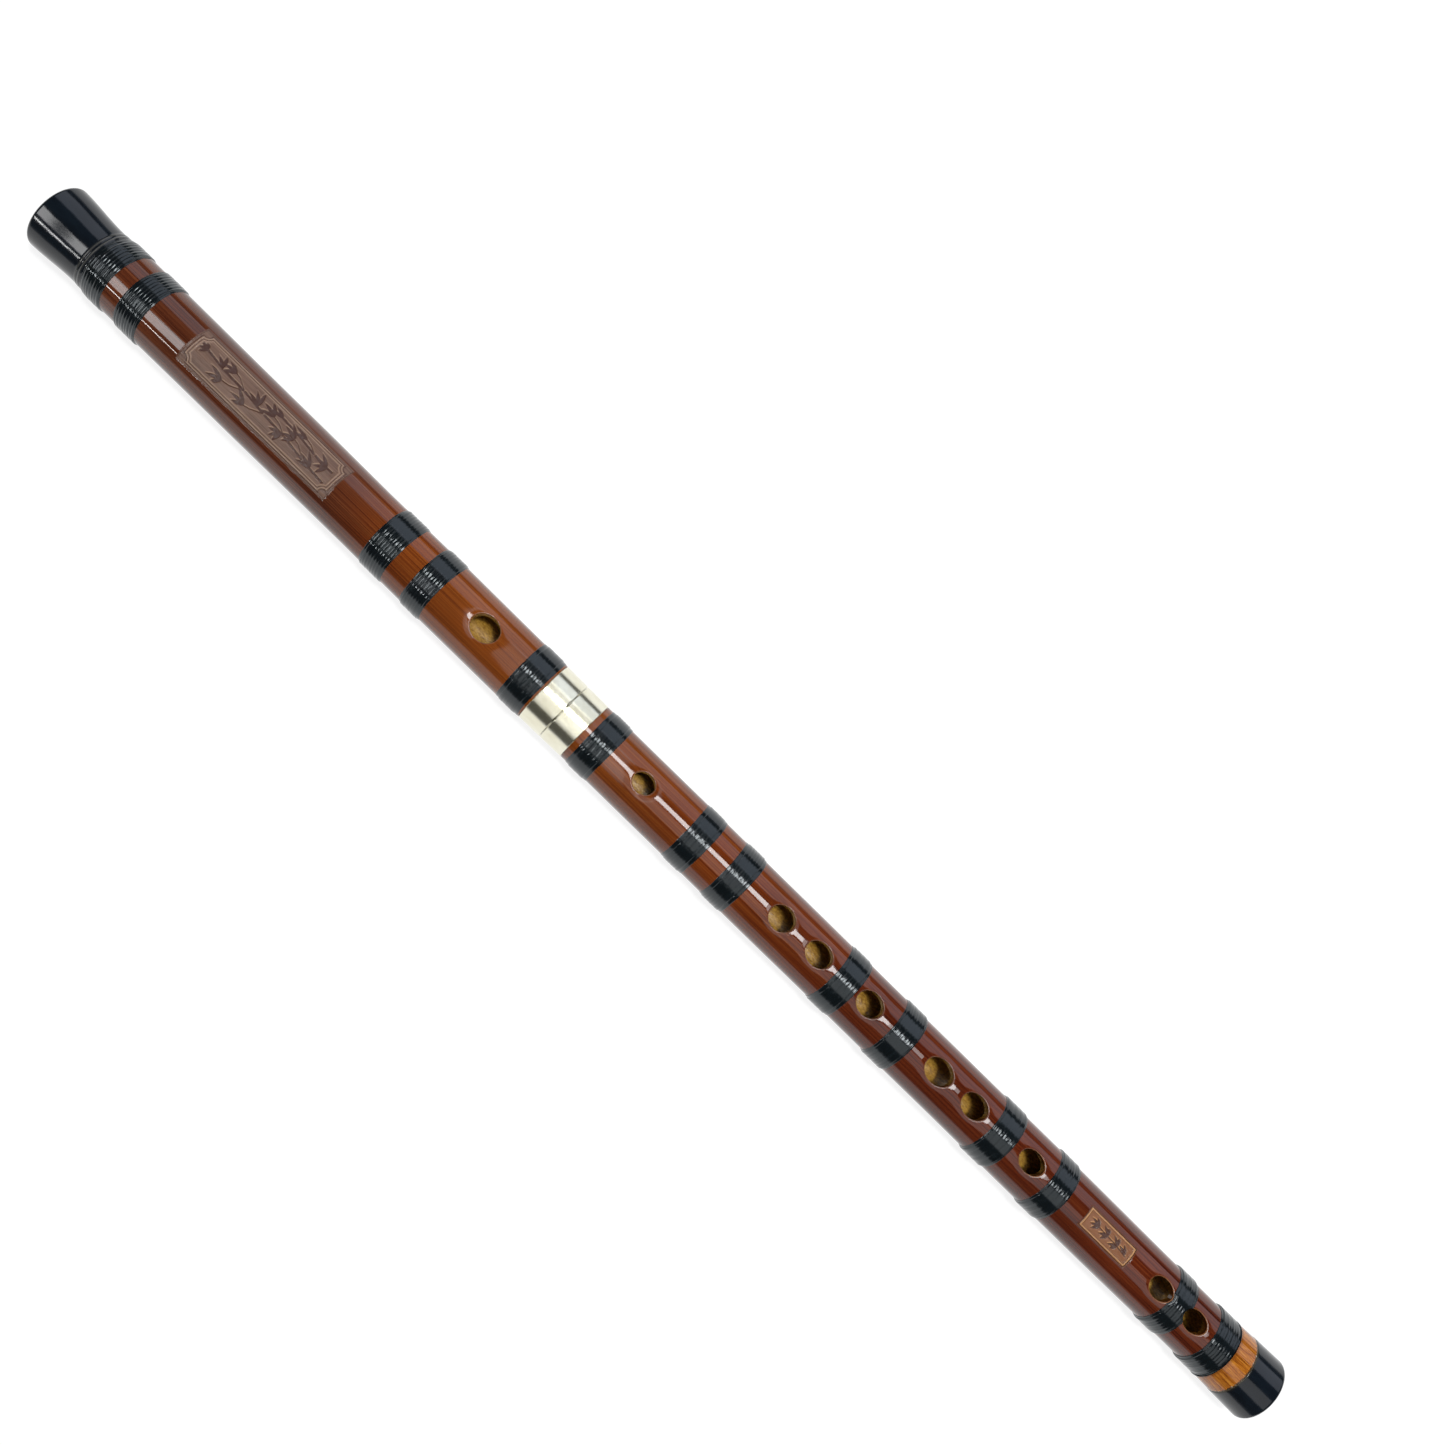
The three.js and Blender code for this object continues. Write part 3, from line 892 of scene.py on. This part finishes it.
# before, after and inside are the (station, radius) of what is turned on each tube;
# fineAngles are the degrees either side of the top that are fine, and their step
headTube = {
    "body": "head_section",
    "node": "head_tube",
    "bare": (capBinding[1], collarStart - gap),
    "before": [
        (headTubeSpan[0], culm["spigot"] - chamfer),
        (headTubeSpan[0] + chamfer, culm["spigot"]),
        (capEnd + gap, culm["spigot"]),
        (capEnd + gap, capSeat),
        (capBinding[1] - smallChamfer, capSeat),
    ],
    "after": [
        (collarStart - gap, headLand),
        (headTubeSpan[1] - smallChamfer, headLand),
        (headTubeSpan[1], headLand - smallChamfer),
    ],
    "inside": [
        (headTubeSpan[1], culm["sleeveSeat"]),
        (sleeveStart - gap, culm["sleeveSeat"]),
        (sleeveStart - gap, culm["bore"]),
        (headTubeSpan[0], culm["bore"]),
    ],
    "holes": [holeOf("blow_hole")],
    "fineAngles": (40.0, 0.9),
    "panel": headEngraving,
    "motif": headMotif,
    "panelZone": (62.6, 129.2, 0.185),  # start, end and step of the fine rings
    "extraLines": [],
}
footHoleNames = ["membrane_hole"] + ["finger_hole_%d" % i for i in range(6, 0, -1)]
footHoleNames += ["vent_1", "vent_2", "cord_hole_1", "cord_hole_2"]
footTube = {
    "body": "foot_section",
    "node": "foot_tube",
    "bare": (collarEnd + gap, bandSpan[1] - 0.1),
    "before": [
        (footTubeSpan[0], footLand - smallChamfer),
        (footTubeSpan[0] + smallChamfer, footLand),
        (collarEnd + gap, footLand),
    ],
    "after": [
        (bandSpan[1] - 0.1, culm["spigot"]),
        (footTubeSpan[1] - chamfer, culm["spigot"]),
        (footTubeSpan[1], culm["spigot"] - chamfer),
    ],
    "inside": [
        (footTubeSpan[1], culm["bore"]),
        (tenonEnd + gap, culm["bore"]),
        (tenonEnd + gap, culm["tenonSeat"]),
        (footTubeSpan[0], culm["tenonSeat"]),
    ],
    "holes": [holeOf(name) for name in footHoleNames],
    "fineAngles": (24.0, 0.9),
    "panel": footEngraving,
    "motif": footMotif,
    "panelZone": (470.3, 492.6, 0.16),
    "extraLines": [bandSpan[0] - 0.3, bandSpan[0] - 0.1],
}
bambooTube("headTubeCulm", headTube)
print("head tube made")
bambooTube("footTubeCulm", footTube)
print("foot tube made")


thread = {
    "dark": (0.0008, 0.0022, 0.0034),
    "mid": (0.0024, 0.0055, 0.0078),
    "worn": (0.020, 0.029, 0.034),
    "pitch": 1.12,  # from turn to turn
    "coarse": 0.022,  # how uneven the turns are
    "waver": 0.07,  # how far the ends of a binding wander
    "capSlope": 3.2,  # the first binding climbs from the cap's neck to the bamboo
    "capRoom": 0.05,
    "seatRoom": 0.012,
}


def threadFinish():
    finish, tree, shader, where = newFinish("lacqueredThread")
    strands = fibre(where, (3.6, 0.12, 0.12))
    patches = fibre(where, (0.35, 0.22, 0.22))
    base = ramp(strands, (0.35, 0.68), (thread["dark"], thread["mid"]))
    wear = ramp(patches, (0.60, 0.80), (0.0, 0.4))
    tree.links.new(blendColour(wear, base, thread["worn"]), shader.inputs["Base Color"])
    dull = plus(0.05, times(patches, 0.16))
    tree.links.new(dull, shader.inputs["Roughness"])
    shader.inputs["Specular Tint"].default_value = (0.90, 0.97, 1.0, 1)
    shader.inputs["IOR"].default_value = 1.56
    lumps = fibre(where, (1.9, 0.10, 0.10))
    first = bumpFrom(tree, shader, lumps, 0.00009)
    bumpFrom(tree, shader, strands, 0.00002, first)
    return finish


lacqueredThread = threadFinish()

# how far each stands proud, the width of its sloping edge, the relief of its turns
bindings = [
    (0.47, 0.35, 0.120),
    (0.49, 0.5, 0.110),
    (0.38, 0.6, 0.065),
    (0.48, 0.6, 0.060),
    (0.38, 1.3, 0.048),
    (0.40, 1.3, 0.075),
    (0.38, 1.3, 0.052),
    (0.49, 1.2, 0.070),
    (0.49, 1.1, 0.030),
    (0.50, 0.6, 0.025),
    (0.52, 0.6, 0.022),
    (0.58, 0.7, 0.026),
    (0.56, 0.8, 0.045),
    (0.64, 0.9, 0.045),
]


def windingHeight(s, angles, start, end, look, number):
    # height over the bare culm across one binding
    proud, slope, relief = look
    fromEdge = np.minimum(s - start, end - s)
    drift = 0.10 * np.sin(2 * angles + number) + 0.06 * np.sin(5 * angles + 2.3 * number)
    margin = slope + drift
    edge = smoothStep(fromEdge, -0.02, 0.20)
    crown = smoothStep(fromEdge, margin, margin + 0.26)
    ridgeLine = np.exp(-((fromEdge - margin + 0.10) / 0.11) ** 2)
    turns = s / thread["pitch"] + angles / (2 * math.pi) + 0.12 * np.sin(3 * angles + number)
    strand = np.abs(np.sin(math.pi * turns))
    uneven = np.sin(turns * 3.1 + number) + 0.6 * np.sin(turns * 1.37 + 2.2 * number)
    height = 0.05 + edge * (0.34 * proud - 0.05) + crown * 0.58 * proud
    height = height + edge * 0.07 * ridgeLine
    height = height + crown * (relief * (strand - 0.6) + thread["coarse"] * uneven)
    slack = 0.010 * np.sin(turns * 6.2 + 3 * angles)  # turns that don't lie quite even
    return height + edge * slack


def cutSpan(start, end, angles, holes):
    # where the holes bite into a binding, its ends follow them round
    waver = thread["waver"]
    starts = start + waver * (np.sin(2 * angles + start) + 0.5 * np.sin(7 * angles + end))
    ends = end + waver * (np.sin(3 * angles + end) + 0.5 * np.sin(6 * angles + start))
    for hole in holes:
        far = hole["long"] + culm["lip"] * 0.6
        wide = hole["wide"] + culm["lip"] * 0.6
        across = culm["radius"] * np.sin(angles)
        reach = far * np.sqrt(np.clip(1 - (across / wide) ** 2, 0, 1))
        near = (np.cos(angles) > 0) & (np.abs(across) < wide)
        before = near & (hole["at"] < start)
        after = near & (hole["at"] > end)
        starts = np.where(before, np.maximum(starts, hole["at"] + reach), starts)
        ends = np.where(after, np.minimum(ends, hole["at"] - reach), ends)
    return starts, ends


def bindThread(number):
    look = bindings[number - 1]
    start, end = bindingSpans[number - 1]
    body = "head_section" if number <= 5 else "foot_section"
    holes = [holeOf("vent_1"), holeOf("vent_2")] if number == 13 else []
    skin = newSkin()
    sides = 168
    angles = np.linspace(0, 2 * math.pi, sides, endpoint=False)
    starts, ends = cutSpan(start, end, angles, holes)
    steps = 110
    rings = []
    for k in range(steps + 1):
        s = starts + (ends - starts) * k / steps
        base = bareRadius(s)
        if number == 1:
            base = capNeck + (base - capNeck) * smoothStep(s, start, start + thread["capSlope"])
        radius = base + windingHeight(s, angles, starts, ends, look, number)
        rings.append(addRing(skin, s, angles, radius))
    underSteps = 6
    for k in range(underSteps + 1):
        s = ends - (ends - starts) * k / underSteps
        if number == 1:
            radius = np.full(sides, capSeat + thread["capRoom"])
        else:
            radius = skinRadius(s, angles) + thread["seatRoom"]
        rings.append(addRing(skin, s, angles, radius))
    for i, ring in enumerate(rings):
        joinRings(skin, ring, rings[(i + 1) % len(rings)])
    node = "thread_binding_%02d" % number
    return finishPiece("threadBinding%02d" % number, skin, lacqueredThread, body, node, 60)


for number in range(1, 15):
    bindThread(number)
print("bindings made")


horn = {
    "dark": (0.0010, 0.0028, 0.0060),
    "light": (0.0030, 0.0066, 0.0115),
    "glued": (0.070, 0.052, 0.022),
    # the pale tone next is a painted highlight on the cap's rim and beads, partly wear as well
    "highlitAndRubbed": (0.34, 0.32, 0.27),
}


def hornFinish():
    finish, tree, shader, where = newFinish("polishedHorn")
    cloudy = fibre(where, (0.10, 0.30, 0.30))
    scuffs = fibre(where, (0.25, 1.9, 1.9), 4.0, 0.65)
    base = ramp(cloudy, (0.3, 0.7), (horn["dark"], horn["light"]))
    edge = marked(tree, "raw")
    base = blendColour(edge, base, horn["glued"])
    base = blendColour(marked(tree, "rub"), base, horn["highlitAndRubbed"])
    tree.links.new(base, shader.inputs["Base Color"])
    rough = plus(0.05, times(scuffs, 0.13))
    rough = plus(rough, times(edge, 0.25))
    tree.links.new(rough, shader.inputs["Roughness"])
    shader.inputs["IOR"].default_value = 1.50
    bumpFrom(tree, shader, scuffs, 0.000012)
    return finish


polishedHorn = hornFinish()

cap = {
    "endRadius": 12.36,
    "neckRadius": capNeck,
    "flareLength": 19.0,
    "faceDepth": 6.0,
    "mouth": 7.55,
    "mouthRound": 0.55,
    "spigotSeat": 9.45,
    "rimRound": 1.2,
    "beads": (20.75, 22.05),
    "beadHeight": 0.20,
}


shownRadius = 10.6  # only what lies outside this radius is seen


def quarter(steps):
    # shares of a rounding, from its side to its face
    turns = [math.pi / 2 * k / steps for k in range(steps + 1)]
    return [(1 - math.sin(turn), 1 - math.cos(turn)) for turn in turns]


def capOuter(s):
    ease = 0.5 + 0.5 * math.cos(math.pi * min(s / cap["flareLength"], 1))
    radius = cap["neckRadius"] + (cap["endRadius"] - cap["neckRadius"]) * ease
    for bead in cap["beads"]:
        radius += cap["beadHeight"] * math.exp(-((s - bead) / 0.30) ** 2)
    return radius


def capOutline():
    rim = cap["rimRound"]
    mouth = cap["mouthRound"]
    neckEnd = capBinding[0] + 0.1
    outline = [(rim * a, capOuter(rim) - rim * b) for a, b in reversed(quarter(8))]
    for k in range(1, 61):
        s = rim + (neckEnd - rim) * k / 60
        outline.append((s, capOuter(s)))
    outline += [(neckEnd, capSeat), (capEnd - smallChamfer, capSeat), (capEnd, capSeat - smallChamfer)]
    outline += [(capEnd, cap["spigotSeat"]), (cap["faceDepth"], cap["spigotSeat"])]
    outline += [(cap["faceDepth"], cap["mouth"])]
    outline += [(mouth * a, cap["mouth"] + mouth * b) for a, b in quarter(5)]
    return outline


def capMarks(s, r):
    if r < shownRadius:
        return {}
    # pale marks on the rim and the beads: painted highlight, partly wear as well
    worn = 0.8 * math.exp(-((s - 0.12) / 0.22) ** 2)
    for bead in cap["beads"]:
        worn += 0.22 * math.exp(-((s - bead) / 0.20) ** 2)
    return {"rub": worn}


turnedPiece(
    "headCapHorn", capOutline(), polishedHorn, "head_section", "head_cap", 192, capMarks
)

ferrule = {
    "startRadius": 11.77,
    "endRadius": 12.05,
    "faceDepth": 4.5,
    "spigotSeat": 9.45,
    "mouth": 7.55,
    "mouthRound": 0.55,
    "startRound": 0.45,
    "rimRound": 1.2,
}


def ferruleOutline():
    start = bandSpan[1]
    low = ferrule["startRadius"]
    high = ferrule["endRadius"]
    edge = ferrule["startRound"]
    rim = ferrule["rimRound"]
    mouth = ferrule["mouthRound"]
    outline = [(start + edge * a, low - edge * b) for a, b in reversed(quarter(5))]
    for k in range(1, 16):
        t = k / 16
        outline.append((start + edge + (footEnd - rim - start - edge) * t, low + (high - low) * t))
    outline += [(footEnd - rim * a, high - rim * b) for a, b in quarter(8)]
    outline += [(footEnd - mouth * a, ferrule["mouth"] + mouth * b) for a, b in reversed(quarter(5))]
    inner = footEnd - ferrule["faceDepth"]
    outline += [(inner, ferrule["mouth"]), (inner, ferrule["spigotSeat"]), (start, ferrule["spigotSeat"])]
    return outline


def ferruleMarks(s, r):
    glued = math.exp(-((s - bandSpan[1]) / 0.28) ** 2) if r > shownRadius else 0.0
    return {"raw": glued}


turnedPiece(
    "footFerruleHorn", ferruleOutline(), polishedHorn, "foot_section", "foot_ferrule", 192,
    ferruleMarks,
)
print("cap and ferrule made")


metal = {
    "bright": (0.84, 0.82, 0.68),
    "warm": (0.76, 0.73, 0.57),
    "tarnish": (0.42, 0.37, 0.24),
}


def metalFinish():
    finish, tree, shader, where = newFinish("nickelSilver")
    grain = fibre(where, (0.25, 7.0, 7.0), 3.0, 0.6)
    clouds = fibre(where, (0.12, 0.18, 0.18))
    spots = fibre(where, (0.8, 0.8, 0.8), 4.0, 0.7)
    base = ramp(clouds, (0.35, 0.62), (metal["warm"], metal["bright"]))
    stain = ramp(spots, (0.64, 0.80), (0.0, 0.30))
    tree.links.new(blendColour(stain, base, metal["tarnish"]), shader.inputs["Base Color"])
    rough = plus(0.10, times(grain, 0.14))
    tree.links.new(plus(rough, times(stain, 0.2)), shader.inputs["Roughness"])
    shader.inputs["Metallic"].default_value = 1.0
    bumpFrom(tree, shader, grain, 0.000010)
    return finish


nickelSilver = metalFinish()

joint = {
    "wall": 0.6,
    "flange": 0.8,
    "sleeve": (8.8, 9.5),  # inner and outer radius
    "tenon": (7.75, 8.55),
    "edge": 0.22,
    "innerEdge": 0.15,
    "throatEdge": 0.1,
    "headFaceRadius": 11.55,
    "footFaceRadius": 11.5,
}


headCollarSpan = spanOf("head_collar")
headInner = float(bareRadius(collarStart)) - joint["wall"]
headCollarOutline = roundCorners([
    (headCollarSpan[0], float(bareRadius(collarStart)), joint["edge"]),
    (headCollarSpan[1], joint["headFaceRadius"], joint["edge"]),
    (headCollarSpan[1], joint["sleeve"][1] + gap, joint["throatEdge"]),
    (headCollarSpan[1] - joint["flange"], joint["sleeve"][1] + gap, 0),
    (headCollarSpan[1] - joint["flange"], headInner, 0),
    (headCollarSpan[0], headInner, joint["innerEdge"]),
])
turnedPiece(
    "headCollarMetal", headCollarOutline, nickelSilver, "head_section", "head_collar", 192
)

footCollarSpan = spanOf("foot_collar")
footInner = float(bareRadius(collarEnd)) - joint["wall"]
footCollarOutline = roundCorners([
    (footCollarSpan[0], joint["footFaceRadius"], joint["edge"]),
    (footCollarSpan[1], float(bareRadius(collarEnd)) + 0.04, joint["edge"]),
    (footCollarSpan[1], footInner, joint["innerEdge"]),
    (footCollarSpan[0] + joint["flange"], footInner, 0),
    (footCollarSpan[0] + joint["flange"], joint["tenon"][1] + gap, 0),
    (footCollarSpan[0], joint["tenon"][1] + gap, joint["throatEdge"]),
])
turnedPiece(
    "footCollarMetal", footCollarOutline, nickelSilver, "foot_section", "foot_collar", 192
)


def pipeOutline(span, inner, outer, edge):
    middle = [(span[0] + (span[1] - span[0]) * k / 8, outer, 0) for k in range(1, 8)]
    corners = [(span[0], outer, edge), *middle, (span[1], outer, edge)]
    corners += [(span[1], inner, edge * 0.6), (span[0], inner, edge * 0.6)]
    return roundCorners(corners, 3)


sleeveOutline = pipeOutline(spanOf("socket_sleeve"), *joint["sleeve"], 0.18)
turnedPiece(
    "socketSleeveMetal", sleeveOutline, nickelSilver, "head_section", "socket_sleeve"
)
tenonOutline = pipeOutline(spanOf("tenon_tube"), *joint["tenon"], 0.22)
turnedPiece("tenonTubeMetal", tenonOutline, nickelSilver, "tenon", "tenon_tube")
print("metal joint made")


cork = {
    "radius": 7.45,
    "edge": 0.5,
    "dents": 0.03,
    "pale": (0.50, 0.315, 0.165),
    "deep": (0.30, 0.165, 0.075),
    "pore": (0.075, 0.038, 0.018),
}


def corkFinish():
    finish, tree, shader, where = newFinish("naturalCork")
    cells = fibre(where, (0.9, 0.9, 0.9), 5.0, 0.65)
    pores = fibre(where, (0.55, 1.6, 1.6), 3.0, 0.6, 0.6)
    base = ramp(cells, (0.35, 0.62), (cork["deep"], cork["pale"]))
    hollow = ramp(pores, (0.60, 0.68), (0.0, 1.0))
    tree.links.new(blendColour(hollow, base, cork["pore"]), shader.inputs["Base Color"])
    tree.links.new(ramp(cells, (0.3, 0.7), (0.75, 0.95)), shader.inputs["Roughness"])
    first = bumpFrom(tree, shader, cells, 0.0001)
    bumpFrom(tree, shader, minus(1.0, hollow), 0.00025, first)
    return finish


naturalCork = corkFinish()


def corkOutline():
    start, end = spanOf("cork_stopper")
    radius = cork["radius"]
    edge = cork["edge"]
    outline = [(start + 0.05, 0.02), (start, radius * 0.45), (start, radius - edge * 1.4)]
    outline += [(start + edge * 0.4, radius - edge * 0.4)]
    outline += [(start + edge + (end - start - 2 * edge) * k / 16, radius) for k in range(17)]
    outline += [(end - edge * 0.4, radius - edge * 0.4), (end, radius - edge * 1.4)]
    outline += [(end, radius * 0.45), (end - 0.05, 0.02)]
    return outline


def corkPiece():
    skin = newSkin()
    sides = 96
    angles = np.linspace(0, 2 * math.pi, sides, endpoint=False)
    rings = []
    for s, r in corkOutline():
        dents = cork["dents"] * np.abs(np.sin(3 * angles + s) * np.sin(7 * angles + 2 * s))
        rings.append(addRing(skin, s, angles, r - dents * (r > 1)))
    for first, second in zip(rings[:-1], rings[1:]):
        joinRings(skin, first, second)
    skin["faces"].append(tuple(rings[0]))
    skin["faces"].append(tuple(rings[-1]))
    return finishPiece("corkStopper", skin, naturalCork, "stopper", "cork_stopper")


corkPiece()
print("cork made")


room = {
    "floorSize": 4.0,
    "floorSeen": 0.17,  # diffuse colour under the camera, which carries the shadow
    "floorGiven": 0.80,  # diffuse colour towards the object
    "floorLift": 0.86,
    "worldLow": (0.34, 0.35, 0.37),
    "worldHigh": (0.086, 0.084, 0.078),
    "horizon": 0.11,  # where worldHigh starts
    "floorRoom": 0.02,  # millimetres under the flute
}


def makeFloor():
    half = room["floorSize"]
    level = (axisHeight - cap["endRadius"] - room["floorRoom"]) * mm
    mesh = bpy.data.meshes.new("floor")
    corners = [(-half, -half, level), (half, -half, level), (half, half, level), (-half, half, level)]
    mesh.from_pydata(corners, [], [(0, 1, 2, 3)])
    finish, tree, shader, where = newFinish("paleFloor")
    path = addNode(tree, "LightPath")
    seen = path.outputs["Is Camera Ray"]
    mirrored = larger(path.outputs["Is Glossy Ray"], path.outputs["Is Transmission Ray"])
    lit = larger(seen, mirrored)
    given = (room["floorGiven"],) * 3
    tone = blendColour(lit, given, (room["floorSeen"],) * 3)
    tree.links.new(tone, shader.inputs["Base Color"])
    shader.inputs["Roughness"].default_value = 0.9
    shader.inputs["Specular IOR Level"].default_value = 0.1
    shader.inputs["Emission Color"].default_value = (1, 1, 1, 1)
    tree.links.new(times(lit, room["floorLift"]), shader.inputs["Emission Strength"])
    mesh.materials.append(finish)
    floor = addObject("floor", mesh)


def makeWorld():
    world = bpy.data.worlds.new("studio")
    world.use_nodes = True
    tree = world.node_tree
    background = tree.nodes["Background"]
    where = addNode(tree, "TexCoord").outputs["Generated"]
    split = addNode(tree, "SeparateXYZ", None, {"Vector": where})
    tone = ramp(split.outputs[2], (0.0, room["horizon"]), (room["worldLow"], room["worldHigh"]), True)
    tree.links.new(tone, background.inputs["Color"])
    bpy.context.scene.world = world


# glow is what the panel shows in a reflection; mirrored is off for a lamp that isn't seen in
# the gloss, and lights is off for one that is only seen there
lamps = {
    "overheadStrip": {
        "place": (0.13, 0.075, 1.20), "aim": (0.10, 0.0, 0.01), "size": (0.50, 0.25), "glow": 13.0,
    },
    "stripTail": {
        "place": (0.50, 0.075, 1.20), "aim": (0.20, 0.0, 0.01), "size": (0.24, 0.25), "glow": 4.5,
    },
    "sidePanel": {
        "place": (0.0, 0.985, 0.78), "aim": (0.0, 0.0, 0.01), "size": (2.6, 0.90), "glow": 0.95,
        "colour": (0.90, 0.96, 1.10),
    },
    "ceilingPanel": {
        "place": (0.55, -0.52, 1.20), "aim": (0.15, 0.0, 0.01), "size": (1.26, 0.84), "glow": 0.95,
        "lights": False,
    },
    "jointPanel": {
        "place": (-0.107, -0.25, 1.25), "aim": (-0.05, -0.20, 0.01), "size": (0.24, 2.4), "glow": 0.95,
        "lights": False,
    },
    "headPanel": {
        "place": (-0.88, -0.58, 1.10), "aim": (-0.25, 0.0, 0.01), "size": (0.36, 0.66), "glow": 5.8,
        "lights": False,
    },
    "headLine": {
        "place": (-0.84, -1.02, 0.70), "aim": (-0.25, 0.0, 0.01), "size": (0.42, 0.05), "glow": 27.0,
        "lights": False,
    },
    "key": {
        "place": (0.10, 0.035, 1.25), "aim": (0.08, 0.0, 0.01), "size": (0.10, 0.10), "glow": 290.0,
        "mirrored": False,
    },
}


def makeLamp(name, lamp):
    data = bpy.data.lights.new(name, "AREA")
    data.shape = "RECTANGLE"
    data.size, data.size_y = lamp["size"]
    data.energy = lamp["glow"] * math.pi * lamp["size"][0] * lamp["size"][1]
    data.color = lamp.get("colour", (1, 1, 1))
    light = addObject(name, data)
    # the panel faces its aim, with its first side kept along the flute
    away = np.array(lamp["place"]) - np.array(lamp["aim"])
    away = away / np.linalg.norm(away)
    along = np.array([1.0, 0.0, 0.0]) - away * away[0]
    along = along / np.linalg.norm(along)
    columns = [along, np.cross(away, along), away, lamp["place"]]
    rows = [[column[i] for column in columns] for i in range(3)]
    light.matrix_world = Matrix([*rows, [0, 0, 0, 1]])
    light.visible_camera = False
    light.visible_glossy = lamp.get("mirrored", True)
    light.visible_diffuse = lamp.get("lights", True)


makeFloor()
makeWorld()
for name, lamp in lamps.items():
    makeLamp(name, lamp)
print("room made")
